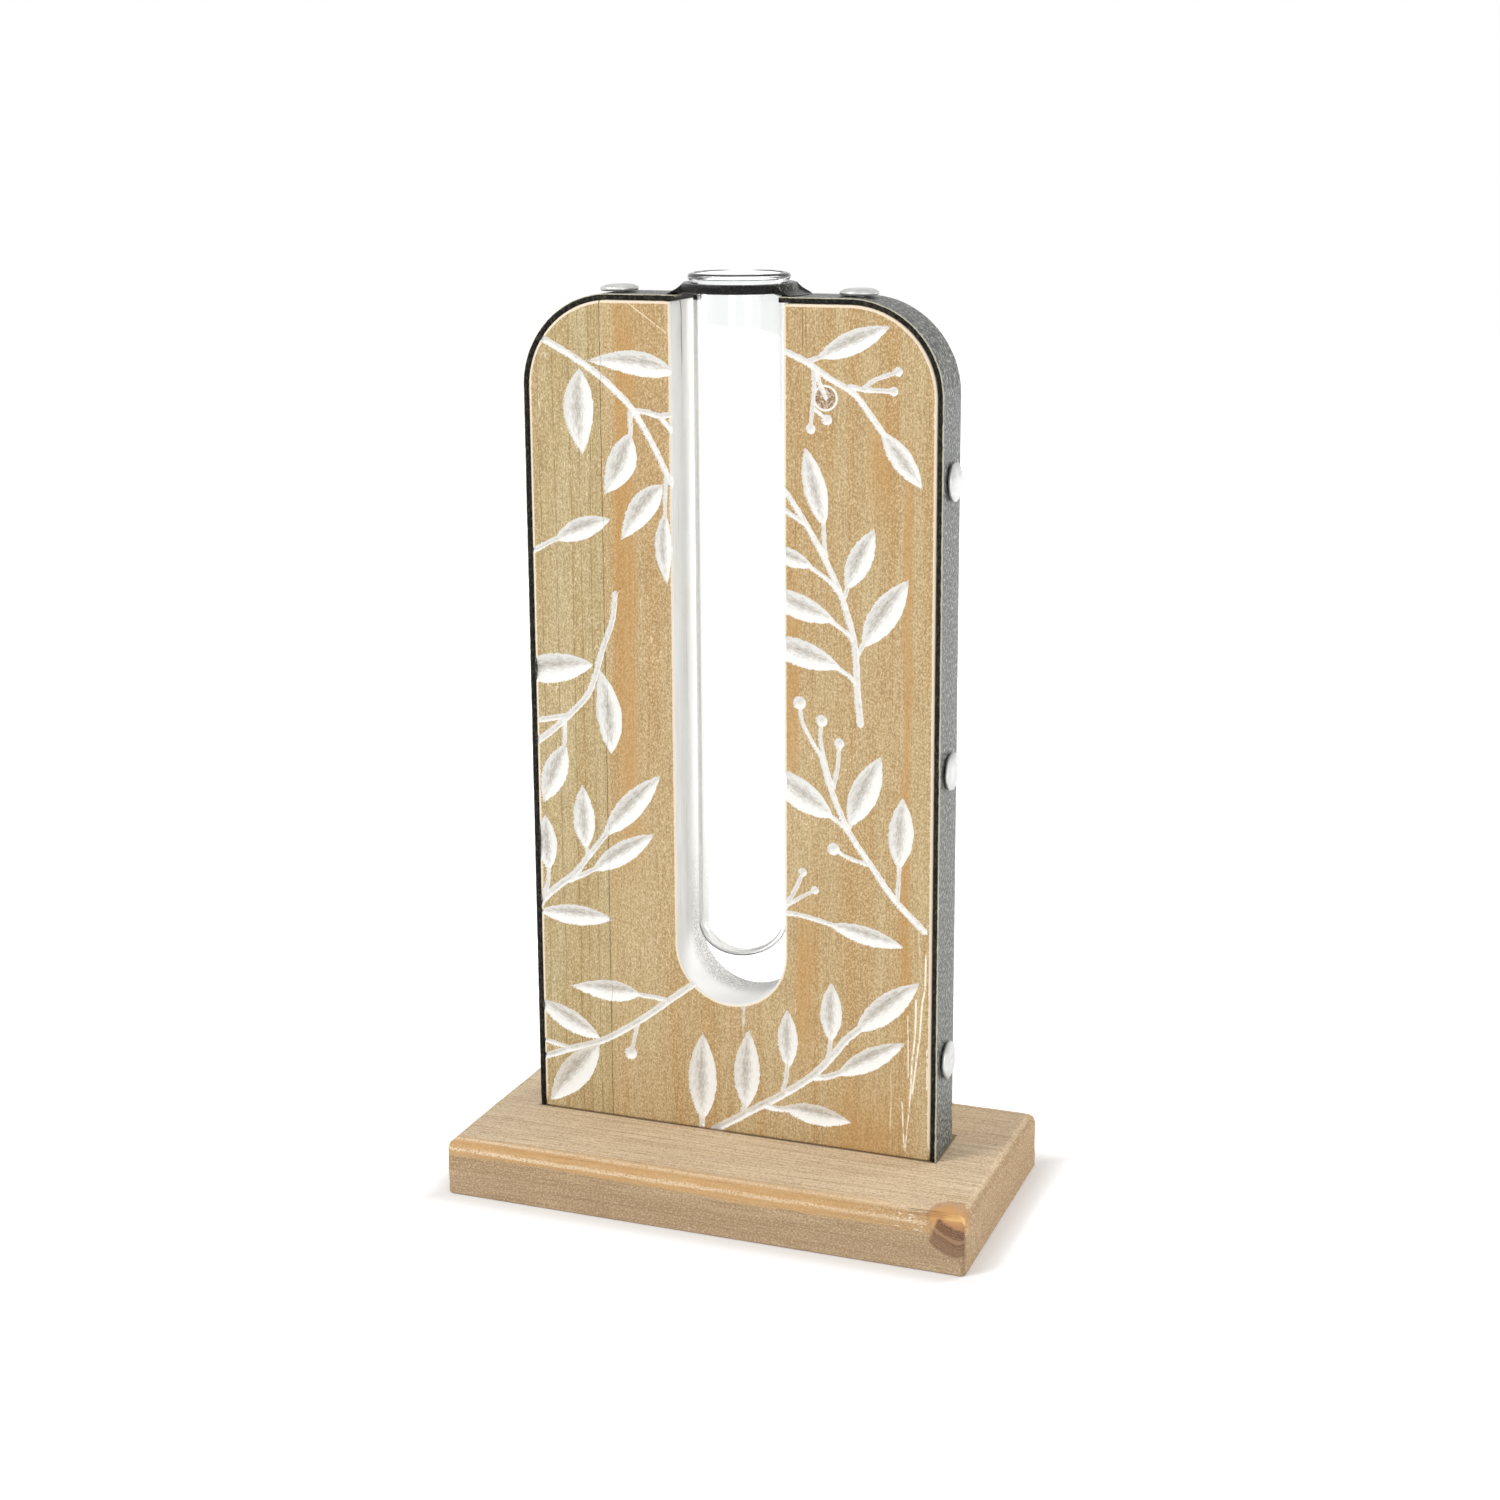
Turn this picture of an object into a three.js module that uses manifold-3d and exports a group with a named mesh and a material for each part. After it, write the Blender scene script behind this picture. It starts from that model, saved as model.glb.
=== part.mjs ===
// A stem vase: a glass test tube that hangs in the slot of a slim wooden board on a wooden foot.
// Millimetres. X runs along the board, Y from its front to its back, Z up from the table.
import * as THREE from 'three';
import { mergeVertices } from 'three/addons/utils/BufferGeometryUtils.js';
import Module from 'manifold-3d';

const wasm = await Module();
wasm.setup();

// The glass test tube.
const tubeDiameter = 25;
const tubeLength = 191.6;
const tubeWall = 1.3;
const tubeDomeHeight = 9.4;
const tubeBottomGlass = 2;
const lipProjection = 1.4;
const lipHeight = 2.4;

// The foot that everything stands on.
const footLength = 152.4;
const footDepth = 76.6;
const footThickness = 16.2;
const footCornerRadius = 1.6;
const footTopRound = 2.8;
const footUnderRound = 0.8;
const footLeastCornerRadius = 0.4;

// The board, glued up from a narrow and a wide stave.
const boardWidth = 117;
const boardThickness = 19.8;
const boardCornerRadius = 24.2;
const narrowStaveWidth = 21.5;
const glueLine = 0.1;
const boardFromFootFront = 32.3;
const boardLeftOfMiddle = 1.7;
const woodUnderSlot = 38.7;
const slotSideClearance = 3.5;
const gapUnderTube = 11.9;

// The steel strap round the board's edge, in two halves that end at the slot.
const strapWidth = 16.8;
const strapThickness = 1.5;
const strapFit = 0.2;
const strapOverSlot = 1.2;

// The steel ring that carries the tube by its lip, and slopes down to the strap on each side.
const ringBoreClearance = 0.5;
const ringRimWidth = 3;
const ringThickness = 2.5;
const ringLift = 0.6;
const ringSeatGap = 0.2;
const slopeReach = 3.6;
const slopeToeThickness = 0.3;

// The clout nails that hold the strap.
const nailHeadDiameter = 10.8;
const nailHeadThickness = 1.9;
const nailHeadRim = 1.1;
const nailHeadStandOff = 0.3;
const nailHeadBevel = 0.35;
const nailShankDiameter = 2.6;
const nailLength = 20;
const nailPointLength = 4;
const nailHoleClearance = 0.15;
const nailHoleSpareDepth = 0.6;
const lowestNailHeight = 27.2;
const middleNailHeight = 109.7;
const highestNailBelowTop = 46.3;
const topNailFromBoardEdge = 24.2;

// The countersunk screws that come up through the foot into the board.
const screwShankDiameter = 4;
const screwHeadDiameter = 8;
const screwLength = 35;
const screwPointLength = 5;
const screwRecess = 0.5;
const screwClearance = 0.2;
const screwFromBoardEdge = 10.6;

// How finely round forms are cut into flat faces.
const roundSides = 48;
const cornerSteps = 12;
const smallSides = 20;

// Heights above the foot, from the slot's floor up to the tube's rim.
const tubeBottomZ = woodUnderSlot + gapUnderTube;
const tubeTopZ = tubeBottomZ + tubeLength;
const lipUndersideZ = tubeTopZ - lipHeight;
const ringTopZ = lipUndersideZ - ringSeatGap;
const ringUndersideZ = ringTopZ - ringThickness;
const strapTopZ = ringUndersideZ - ringLift;
const boardHeight = strapTopZ - strapThickness - strapFit;

// Distances from the board's upright middle line.
const boardHalf = boardWidth / 2;
const tubeRadius = tubeDiameter / 2;
const slotHalf = tubeRadius + slotSideClearance;
const slotArcZ = woodUnderSlot + slotHalf;
const ringBoreRadius = tubeRadius + ringBoreClearance;
const ringRadius = ringBoreRadius + ringRimWidth;
const strapEndX = slotHalf - strapOverSlot;
const seamX = narrowStaveWidth - boardHalf;
const boardMiddleY = boardThickness / 2;
const nailY = strapWidth / 2;

const pine = new THREE.MeshStandardMaterial({ color: 0xc29a62, roughness: 0.7 });
const greyPine = new THREE.MeshStandardMaterial({ color: 0xb5965f, roughness: 0.75 });
const footWood = new THREE.MeshStandardMaterial({ color: 0xa98a68, roughness: 0.75 });
const blackSteel = new THREE.MeshStandardMaterial({ color: 0x23242a, roughness: 0.5, metalness: 0.4 });
const plating = new THREE.MeshStandardMaterial({ color: 0xdadada, roughness: 0.3, metalness: 0.9 });
const glass = new THREE.MeshStandardMaterial({ color: 0xe8efec, roughness: 0.05 });
glass.transparent = true;
glass.opacity = 0.35;
const zinc = new THREE.MeshStandardMaterial({ color: 0xa8a9a4, roughness: 0.4, metalness: 0.9 });

// A closed three.js geometry as a solid that can be joined and cut.
function toSolid(geometry) {
  const bare = geometry.clone();
  bare.deleteAttribute('normal');
  bare.deleteAttribute('uv');
  const merged = mergeVertices(bare, 1e-4);
  const corners = merged.index.array;
  const kept = [];
  for (let i = 0; i < corners.length; i += 3) {
    const [a, b, c] = corners.slice(i, i + 3);
    if (a !== b && b !== c && c !== a) kept.push(a, b, c);
  }
  const positions = new Float32Array(merged.attributes.position.array);
  return new wasm.Manifold(
    new wasm.Mesh({ numProp: 3, vertProperties: positions, triVerts: new Uint32Array(kept) }),
  );
}

function namedMesh(name, solid, material) {
  const cut = solid.getMesh();
  const geometry = new THREE.BufferGeometry();
  geometry.setAttribute('position', new THREE.BufferAttribute(new Float32Array(cut.vertProperties), 3));
  geometry.setIndex(new THREE.BufferAttribute(new Uint32Array(cut.triVerts), 1));
  geometry.computeVertexNormals();
  const mesh = new THREE.Mesh(geometry, material);
  mesh.name = name;
  return mesh;
}

// A profile of (radius, height) pairs turned about the upright axis.
function turned(profile, sides) {
  const points = profile.map(([radius, height]) => new THREE.Vector2(Math.max(radius, 0), height));
  return new THREE.LatheGeometry(points, sides).rotateX(Math.PI / 2);
}

// An outline of (x, z) pairs made as thick as depth, from y = 0 towards the back.
function plate(outline, depth) {
  const shape = new THREE.Shape(outline.map(([x, z]) => new THREE.Vector2(x, z)));
  const geometry = new THREE.ExtrudeGeometry(shape, { depth, bevelEnabled: false });
  return geometry.rotateX(Math.PI / 2).translate(0, depth, 0);
}

// Points on an arc about (x, z), from one angle to another in quarter turns.
function arc(x, z, radius, fromQuarter, toQuarter, steps) {
  return Array.from({ length: steps + 1 }, (_, i) => {
    const angle = (Math.PI / 2) * (fromQuarter + ((toQuarter - fromQuarter) * i) / steps);
    return [x + radius * Math.cos(angle), z + radius * Math.sin(angle)];
  });
}

const mirrored = (outline) => outline.map(([x, z]) => [-x, z]).reverse();

// A rounded rectangle at each level, drawn in by its inset, joined into one closed block.
function roundedBlock(length, depth, cornerRadius, levels) {
  const steps = 4;
  const positions = [];
  const faces = [];
  for (const { z, inset } of levels) {
    const radius = Math.max(cornerRadius - inset, footLeastCornerRadius);
    const x = length / 2 - inset - radius;
    const y = depth / 2 - inset - radius;
    for (const [sx, sy, quarter] of [[1, 1, 0], [-1, 1, 1], [-1, -1, 2], [1, -1, 3]]) {
      for (const [px, py] of arc(sx * x, sy * y, radius, quarter, quarter + 1, steps)) {
        positions.push(px, py, z);
      }
    }
  }
  const around = 4 * (steps + 1);
  for (let level = 0; level + 1 < levels.length; level++) {
    for (let i = 0; i < around; i++) {
      const a = level * around + i;
      const b = level * around + ((i + 1) % around);
      faces.push(a, b, b + around, a, b + around, a + around);
    }
  }
  const top = (levels.length - 1) * around;
  for (let i = 1; i + 1 < around; i++) {
    faces.push(0, i + 1, i);
    faces.push(top, top + i, top + i + 1);
  }
  const geometry = new THREE.BufferGeometry();
  geometry.setAttribute('position', new THREE.BufferAttribute(new Float32Array(positions), 3));
  geometry.setIndex(faces);
  return geometry;
}

// The foot: its upper edges are rounded over, its lower ones only eased.
function footSolid() {
  const under = arc(footUnderRound, footUnderRound, footUnderRound, 3, 2, 2);
  const over = arc(footTopRound, footThickness - footTopRound, footTopRound, 2, 1, 5);
  const levels = [...under, ...over].map(([inset, z]) => ({ z, inset }));
  return toSolid(roundedBlock(footLength, footDepth, footCornerRadius, levels));
}

// Half of the board's edge from foot to slot, stood off by a distance, on the right side.
function edgeLine(standOff, lastX) {
  const x = boardHalf - boardCornerRadius;
  const z = boardHeight - boardCornerRadius;
  return [
    [boardHalf + standOff, 0],
    ...arc(x, z, boardCornerRadius + standOff, 0, 1, cornerSteps),
    [lastX, boardHeight + standOff],
  ];
}

// The whole board: round top corners, and a slot with a round floor that is open at the top.
function boardSolid() {
  const right = edgeLine(0, slotHalf);
  const slotFloor = arc(0, slotArcZ, slotHalf, 0, -2, roundSides / 2);
  return toSolid(plate([...right, ...slotFloor, ...mirrored(right)], boardThickness));
}

// The part of a solid that lies between two upright planes.
function between(solid, fromX, toX) {
  const height = 3 * boardHeight;
  const block = new THREE.BoxGeometry(toX - fromX, 4 * boardThickness, height);
  return solid.intersect(toSolid(block.translate((fromX + toX) / 2, 0, height / 4)));
}

// Half of the strap, bent round one upper corner of the board.
function strapSolid(side) {
  const inner = edgeLine(strapFit, strapEndX);
  const outer = edgeLine(strapFit + strapThickness, strapEndX);
  const outline = [...outer, ...[...inner].reverse()];
  return toSolid(plate(side < 0 ? mirrored(outline) : outline, strapWidth));
}

// The ring's section widened into a hollow slope that ends in a thin toe on the strap.
function slopeSection() {
  const undersideZ = strapTopZ + ringSeatGap;
  const fall = ringTopZ - undersideZ - slopeToeThickness;
  const steps = 6;
  const slope = Array.from({ length: steps + 1 }, (_, i) => {
    const share = i / steps;
    return [ringRadius + slopeReach * share, ringTopZ - fall * Math.sin((Math.PI / 2) * share)];
  });
  return [
    [ringBoreRadius, undersideZ],
    [ringRadius + slopeReach, undersideZ],
    ...slope.reverse(),
    [ringBoreRadius, ringTopZ],
    [ringBoreRadius, undersideZ],
  ];
}

function ringSolid() {
  const section = [
    [ringBoreRadius, ringUndersideZ],
    [ringRadius, ringUndersideZ],
    [ringRadius, ringTopZ],
    [ringBoreRadius, ringTopZ],
    [ringBoreRadius, ringUndersideZ],
  ];
  const ring = toSolid(turned(section, roundSides).translate(0, boardMiddleY, 0));
  const slopes = toSolid(turned(slopeSection(), roundSides).translate(0, boardMiddleY, 0));
  const alongStrap = new THREE.BoxGeometry(boardWidth, strapWidth, 2 * boardHeight);
  const onStrap = slopes.intersect(toSolid(alongStrap.translate(0, strapWidth / 2, boardHeight)));
  const left = between(onStrap, -boardHalf, -strapEndX);
  const right = between(onStrap, strapEndX, boardHalf);
  return ring.add(left).add(right);
}

// The tube about its own axis, with the height measured from its lowest point.
function tubeSolid() {
  const innerRadius = tubeRadius - tubeWall;
  const innerDomeHeight = tubeDomeHeight - tubeWall;
  const domeSteps = 10;
  const dome = (radius, height, lowest) =>
    arc(0, 0, 1, 3, 4, domeSteps).map(([x, z]) => [radius * x, lowest + height * (1 + z)]);
  const lipRound = lipHeight / 2;
  const lipRadius = tubeRadius + lipProjection;
  const lipZ = tubeLength - lipRound;
  const outer = [
    ...dome(tubeRadius, tubeDomeHeight, 0),
    [tubeRadius, tubeLength - lipHeight],
    ...arc(lipRadius - lipRound, lipZ, lipRound, -1, 1, 6),
  ];
  const inner = [
    ...arc(innerRadius + lipRound, lipZ, lipRound, 1, 2, 3),
    ...dome(innerRadius, innerDomeHeight, tubeBottomGlass).reverse(),
  ];
  return toSolid(turned([...outer, ...inner], roundSides));
}

// A clout nail along its own axis, with the underside of its head at zero.
function nailSolid() {
  const headRadius = nailHeadDiameter / 2;
  const shankRadius = nailShankDiameter / 2;
  const domeHeight = nailHeadThickness - nailHeadRim;
  const dome = arc(0, 0, 1, 0, 1, 4).map(([x, z]) => [headRadius * x, nailHeadRim + domeHeight * z]);
  return toSolid(
    turned(
      [
        [0, -nailLength],
        [shankRadius, nailPointLength - nailLength],
        [shankRadius, 0],
        [headRadius - nailHeadBevel, 0],
        [headRadius, nailHeadBevel],
        ...dome,
      ],
      smallSides,
    ),
  );
}

// The hole that a nail fills, with the strap's outer face at zero.
function nailHole() {
  const depth = nailLength - nailHeadStandOff + nailHoleSpareDepth;
  const radius = nailShankDiameter / 2 + nailHoleClearance;
  const height = depth + nailHeadStandOff;
  const hole = new THREE.CylinderGeometry(radius, radius, height, smallSides);
  return hole.rotateX(Math.PI / 2).translate(0, 0, nailHeadStandOff - height / 2);
}

// Where each nail meets the strap, and how far its axis leans over from upright.
function nailPlaces() {
  const places = [];
  const sideX = boardHalf + strapFit + strapThickness;
  const heights = [lowestNailHeight, middleNailHeight, boardHeight - highestNailBelowTop];
  for (const [word, side] of [['left', -1], ['right', 1]]) {
    for (const [i, z] of heights.entries()) {
      places.push({ name: `strap_nail_${word}_${i + 1}`, x: side * sideX, z, lean: (side * Math.PI) / 2 });
    }
    const x = side * (boardHalf - topNailFromBoardEdge);
    places.push({ name: `strap_nail_top_${word}`, x, z: strapTopZ, lean: 0 });
  }
  return places;
}

function drilled(solid, places) {
  let cut = solid;
  for (const { x, z, lean } of places) {
    cut = cut.subtract(toSolid(nailHole().rotateY(lean).translate(x, nailY, z)));
  }
  return cut;
}

// A countersunk screw pointing up, with the flat of its head at zero.
function screwProfile(grow) {
  const headRadius = screwHeadDiameter / 2 + grow;
  const shankRadius = screwShankDiameter / 2 + grow;
  return [
    [0, 0],
    [headRadius, 0],
    [shankRadius, headRadius - shankRadius],
    [shankRadius, screwLength - screwPointLength],
    [0, screwLength + grow],
  ];
}

// What a screw needs cut away, its recess in the underside of the foot included.
function screwHole() {
  const mouth = screwHeadDiameter / 2 + screwClearance;
  const recess = [[0, -2 * screwRecess], [mouth, -2 * screwRecess]];
  return turned([...recess, ...screwProfile(screwClearance).slice(1)], smallSides);
}

const screwX = boardHalf - screwFromBoardEdge;
const screwPlaces = [
  { name: 'base_screw_left', x: -screwX },
  { name: 'base_screw_right', x: screwX },
];

const group = new THREE.Group();
const onFoot = new THREE.Group();
onFoot.position.set(-boardLeftOfMiddle, boardFromFootFront - footDepth / 2, footThickness);
group.add(onFoot);

let foot = footSolid();
let board = drilled(boardSolid(), nailPlaces());
for (const { name, x } of screwPlaces) {
  const z = screwRecess - footThickness;
  const hole = screwHole().translate(x, boardMiddleY, z);
  board = board.subtract(toSolid(hole));
  foot = foot.subtract(toSolid(hole.translate(...onFoot.position.toArray())));
  const screw = namedMesh(name, toSolid(turned(screwProfile(0), smallSides)), zinc);
  screw.position.set(x, boardMiddleY, z);
  onFoot.add(screw);
}
group.add(namedMesh('base_board', foot, footWood));

const pastTheBoard = 2 * boardWidth;
const narrowStave = between(board, -pastTheBoard, seamX - glueLine / 2);
const wideStave = between(board, seamX + glueLine / 2, pastTheBoard);
onFoot.add(namedMesh('plaque_left_stave', narrowStave, greyPine));
onFoot.add(namedMesh('plaque_main_stave', wideStave, pine));

onFoot.add(namedMesh('strap_left', drilled(strapSolid(-1), nailPlaces()), blackSteel));
onFoot.add(namedMesh('strap_right', drilled(strapSolid(1), nailPlaces()), blackSteel));
onFoot.add(namedMesh('tube_ring', ringSolid(), blackSteel));

const tube = namedMesh('test_tube', tubeSolid(), glass);
tube.position.set(0, boardMiddleY, tubeBottomZ);
onFoot.add(tube);

for (const { name, x, z, lean } of nailPlaces()) {
  const nail = namedMesh(name, nailSolid(), plating);
  const outward = new THREE.Vector3(Math.sin(lean), 0, Math.cos(lean));
  nail.position.set(x, nailY, z).addScaledVector(outward, nailHeadStandOff);
  nail.rotation.y = lean;
  onFoot.add(nail);
}

export default group;
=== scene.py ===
# %% [markdown]
# # A stem vase: a glass test tube in a carved pine board
#
# The vase is a slim pine board on a wooden foot. A slot runs down its middle, a black steel strap goes
# round its edge, and a steel ring over the slot carries a glass test tube by its lip. Sprigs of leaves are
# cut into the face and rubbed with white paint. This file dresses the plain construction model piece by
# piece, so each step says what the piece is, how it could be made in Blender, and why this way was taken.

# %% Load the construction model
import math

import bpy
import numpy as np
from mathutils import Matrix, Vector, geometry, kdtree, noise


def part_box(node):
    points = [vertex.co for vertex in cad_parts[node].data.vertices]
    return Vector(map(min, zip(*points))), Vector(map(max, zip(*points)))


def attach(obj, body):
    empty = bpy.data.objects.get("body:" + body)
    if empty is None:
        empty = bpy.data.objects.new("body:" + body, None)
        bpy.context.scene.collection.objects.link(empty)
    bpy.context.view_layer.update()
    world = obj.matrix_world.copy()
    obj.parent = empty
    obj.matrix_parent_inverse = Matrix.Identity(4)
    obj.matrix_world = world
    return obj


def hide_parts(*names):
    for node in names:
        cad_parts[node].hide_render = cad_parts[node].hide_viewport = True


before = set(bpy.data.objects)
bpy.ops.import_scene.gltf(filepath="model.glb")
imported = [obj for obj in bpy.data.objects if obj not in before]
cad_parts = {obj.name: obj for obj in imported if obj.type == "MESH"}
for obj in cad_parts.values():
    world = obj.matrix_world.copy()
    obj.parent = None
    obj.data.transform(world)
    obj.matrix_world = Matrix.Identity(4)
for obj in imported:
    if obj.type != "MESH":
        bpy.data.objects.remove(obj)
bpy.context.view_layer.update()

MM = 0.001

# %% [markdown]
# ## Reading places from the model
#
# A dressed piece must sit exactly where its plain solid sits, so no place is typed in twice. The frame gives
# each node's box, and everything below is worked out from those boxes. Sizes are in millimetres here,
# because that is how a maker thinks of a vase, and turn into metres only when a mesh is made.

# %% Places of the board, the foot and the tube
def box_of(*nodes):
    corners = [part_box(node) for node in nodes]
    low = np.min([np.array(pair[0]) for pair in corners], axis=0) / MM
    high = np.max([np.array(pair[1]) for pair in corners], axis=0) / MM
    return low, high


board_low, board_high = box_of("plaque_left_stave", "plaque_main_stave")
seam_x = (box_of("plaque_left_stave")[1][0] + box_of("plaque_main_stave")[0][0]) / 2
foot_low, foot_high = box_of("base_board")
tube_low, tube_high = box_of("test_tube")
ring_low, ring_high = box_of("tube_ring")
strap_low, strap_high = box_of("strap_left", "strap_right")

board_mid_x = (board_low[0] + board_high[0]) / 2
board_half = (board_high[0] - board_low[0]) / 2
board_height = board_high[2] - board_low[2]
board_thickness = board_high[1] - board_low[1]
face_y = board_low[1]
foot_top = board_low[2]
tube_x, tube_y = (tube_low[:2] + tube_high[:2]) / 2
tube_length = tube_high[2] - tube_low[2]
seam_u = seam_x - board_mid_x
print("board", round(2 * board_half, 2), "x", round(board_height, 2), "mm, seam at", round(seam_u, 2))

# %% [markdown]
# ## The camera
#
# The picture was taken from the front, a little to the right and above, with a long lens. A camera could be
# aimed by eye, but here the straight edges of the foot and board give its place and angles exactly. The
# lens's axis meets the picture a little above its middle, as in a cropped photo, and a small shift does that.

# %% Camera
PICTURE_SIDE = 1500
focal_pixels = 2423.5
optical_axis_row = 640
camera_place = (232.76, -608.56, 295.79)
camera_yaw, camera_pitch, camera_roll = (math.radians(a) for a in (20.742, 11.899, -0.322))
nearest, farthest = 0.01, 20


def into_scene(name, data):
    made = bpy.data.objects.new(name, data)
    bpy.context.scene.collection.objects.link(made)
    return made


camera_data = bpy.data.cameras.new("camera")
camera_data.sensor_width = 36
camera_data.lens = focal_pixels / PICTURE_SIDE * camera_data.sensor_width
camera_data.shift_y = (optical_axis_row - PICTURE_SIDE / 2) / PICTURE_SIDE
camera_data.clip_start, camera_data.clip_end = nearest, farthest
camera = into_scene("camera", camera_data)
look = Matrix.Rotation(camera_yaw, 4, "Z") @ Matrix.Rotation(math.pi / 2 - camera_pitch, 4, "X")
look = look @ Matrix.Rotation(camera_roll, 4, "Z")
camera.matrix_world = Matrix.Translation(Vector(camera_place) * MM) @ look
bpy.context.scene.camera = camera
bpy.context.scene.view_settings.view_transform = "Standard"
print("lens", round(camera_data.lens, 1), "mm, shift", round(camera_data.shift_y, 3))

# %% [markdown]
# ## Building materials from nodes
#
# Every finish here is a small network of shader nodes. Making nodes one by one is wordy, so a short helper
# adds a node, fills in its sockets and hands back its output. Colours are written as the eye and a paint
# chart know them, from 0 to 255, and are turned into the linear light that the renderer works in.

# %% Chart colours
def tone(red, green, blue):
    """A colour from a paint chart as linear light."""
    def linear(value):
        share = value / 255
        return share / 12.92 if share <= 0.04045 else ((share + 0.055) / 1.055) ** 2.4
    return (linear(red), linear(green), linear(blue), 1.0)


print("a chart grey of 128 is", round(tone(128, 128, 128)[0], 3), "of white in linear light")

# %% [markdown]
# Most of what a finish needs is arithmetic on noise. Blender has a math node with a menu for that. Here each
# kind of sum gets a short name instead, so that a finish further down reads like a recipe.

# %% Nodes with short names
class Network:
    """Shader nodes under construction. Each call adds its nodes and returns their output."""

    def __init__(self, tree):
        self.tree = tree

    def connect(self, value, socket):
        if isinstance(value, bpy.types.NodeSocket):
            self.tree.links.new(value, socket)
        else:
            socket.default_value = value

    def add(self, kind, sockets=(), output=0, **settings):
        node = self.tree.nodes.new("ShaderNode" + kind)
        for name, value in settings.items():
            setattr(node, name, value)
        for socket, value in dict(sockets).items():
            self.connect(value, node.inputs[socket])
        return node.outputs[output]

    def math(self, operation, one, other=0.0, clamp=False):
        return self.add("Math", {0: one, 1: other}, operation=operation, use_clamp=clamp)

    def times(self, first, *others):
        for other in others:
            first = self.math("MULTIPLY", first, other)
        return first

    def plus(self, one, other, clamp=False):
        return self.math("ADD", one, other, clamp)

    def minus(self, one, other):
        return self.math("SUBTRACT", one, other)

    def size(self, value):
        return self.math("ABSOLUTE", value)

    def larger(self, one, other):
        return self.math("MAXIMUM", one, other)


print("nodes with short names:", [name for name in vars(Network) if not name.startswith("_")])

# %% [markdown]
# Those sums make the shapes that a finish is drawn with: a band that fades in, a line round a value, and a
# distance from a place. They are laid over noise, over a place on the object, or over a number that the mesh
# carries from point to point.

# %% Bands, lines, places and noise
class Patterns(Network):
    """What a finish is drawn with. Lengths are in millimetres on the object."""

    def band(self, value, low, high, start=0.0, end=1.0):
        """A smooth step from one level to another as the value goes from low to high."""
        sockets = {"Value": value, "From Min": low, "From Max": high, "To Min": start, "To Max": end}
        return self.add("MapRange", sockets, interpolation_type="SMOOTHSTEP")

    def line(self, value, centre, inner, outer, most=1.0):
        """A soft line where the value is near a centre: full at the inner distance, gone at the outer."""
        return self.band(self.size(self.minus(value, centre)), inner, outer, most, 0)

    def axes(self, vector):
        node = self.tree.nodes.new("ShaderNodeSeparateXYZ")
        self.connect(vector, node.inputs[0])
        return list(node.outputs)

    def distance(self, axes, place, stretch=(1, 1, 1)):
        """How far each point lies from a place, measured along the given axes."""
        offsets = [self.times(self.minus(a, p), s) for a, p, s in zip(axes, place, stretch)]
        apart = self.add("CombineXYZ", enumerate(offsets))
        return self.add("VectorMath", {0: apart}, output="Value", operation="LENGTH")

    def place(self, stretch=1.0):
        """The point on the object in millimetres, drawn out along the grain."""
        scale = (np.ones(3) * stretch / MM).tolist()
        return self.add("Mapping", {"Vector": self.add("TexCoord", output="Object"), "Scale": scale})

    def noise(self, where, scale, detail=3, roughness=0.5, distortion=0):
        sockets = {"Vector": where, "Scale": scale, "Detail": detail, "Roughness": roughness}
        return self.add("TexNoise", {**sockets, "Distortion": distortion})

    def grain(self, stretch, *settings):
        """Noise with this many waves to a millimetre, along each axis or along all three."""
        return self.noise(self.place(stretch), 1.0, *settings)

    def measure(self, name, output="Fac"):
        """A number that the mesh carries at each of its points."""
        return self.add("Attribute", output=output, attribute_name=name)


print("patterns:", [name for name in vars(Patterns) if not name.startswith("_")])

# %% [markdown]
# A real surface is built up in coats: bare wood, stain, grime, paint. A material here does the same. It
# knows the colour it has so far, and each new coat covers that as far as a noise or a place allows.

# %% A material in coats
class Finish(Patterns):
    """A material whose colour is laid on in coats, each over the ones before."""

    def __init__(self, name):
        self.material = bpy.data.materials.new(name)
        self.material.use_nodes = True
        super().__init__(self.material.node_tree)
        self.surface = self.tree.nodes["Principled BSDF"]

    def set(self, **sockets):
        for name, value in sockets.items():
            self.connect(value, self.surface.inputs[name.replace("_", " ")])

    def mix(self, share, one, other):
        """From one colour to another. A chart colour is a tuple, and any other colour is a socket."""
        node = self.tree.nodes.new("ShaderNodeMix")
        node.data_type = "RGBA"
        factor, first, second = (node.inputs[number] for number in (0, 6, 7))
        self.connect(share, factor)
        for colour, socket in ((one, first), (other, second)):
            self.connect(tone(*colour) if isinstance(colour, tuple) else colour, socket)
        return node.outputs[2]

    def ramp(self, value, *stops):
        """Chart colours at their places on a scale from nought to one."""
        node = self.tree.nodes.new("ShaderNodeValToRGB")
        self.connect(value, node.inputs[0])
        while len(node.color_ramp.elements) < len(stops):
            node.color_ramp.elements.new(1)
        for element, (position, colour) in zip(node.color_ramp.elements, stops):
            element.position = position
            element.color = tone(*colour)
        return node.outputs[0]

    def over(self, share, colour):
        self.colour = self.mix(share, self.colour, colour)

    def stain(self, value, start, full, most, colour):
        """A coat that begins where the value passes the start and reaches its most at full."""
        self.over(self.band(value, start, full, 0, most), colour)

    def relief(self, height, millimetres, strength=1.0):
        """Fine relief that is too small to model."""
        sockets = {"Height": height, "Distance": millimetres * MM, "Strength": strength}
        self.connect(self.add("Bump", sockets), self.surface.inputs["Normal"])


print("a finish can:", [name for name in vars(Finish) if not name.startswith("_")])

# %% [markdown]
# ## Light, floor and background
#
# The vase stands in a bright white studio. Strong lamps would bleach the pale paint, so the lamps stay at a
# level where a colour renders as it is written. The white background comes from the floor and the world
# instead: they look white to the camera, and to glass and metal, while they light the vase only softly. The
# floor is a real surface all the same and glows least close to the foot, so that it keeps the shadow there.

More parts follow.
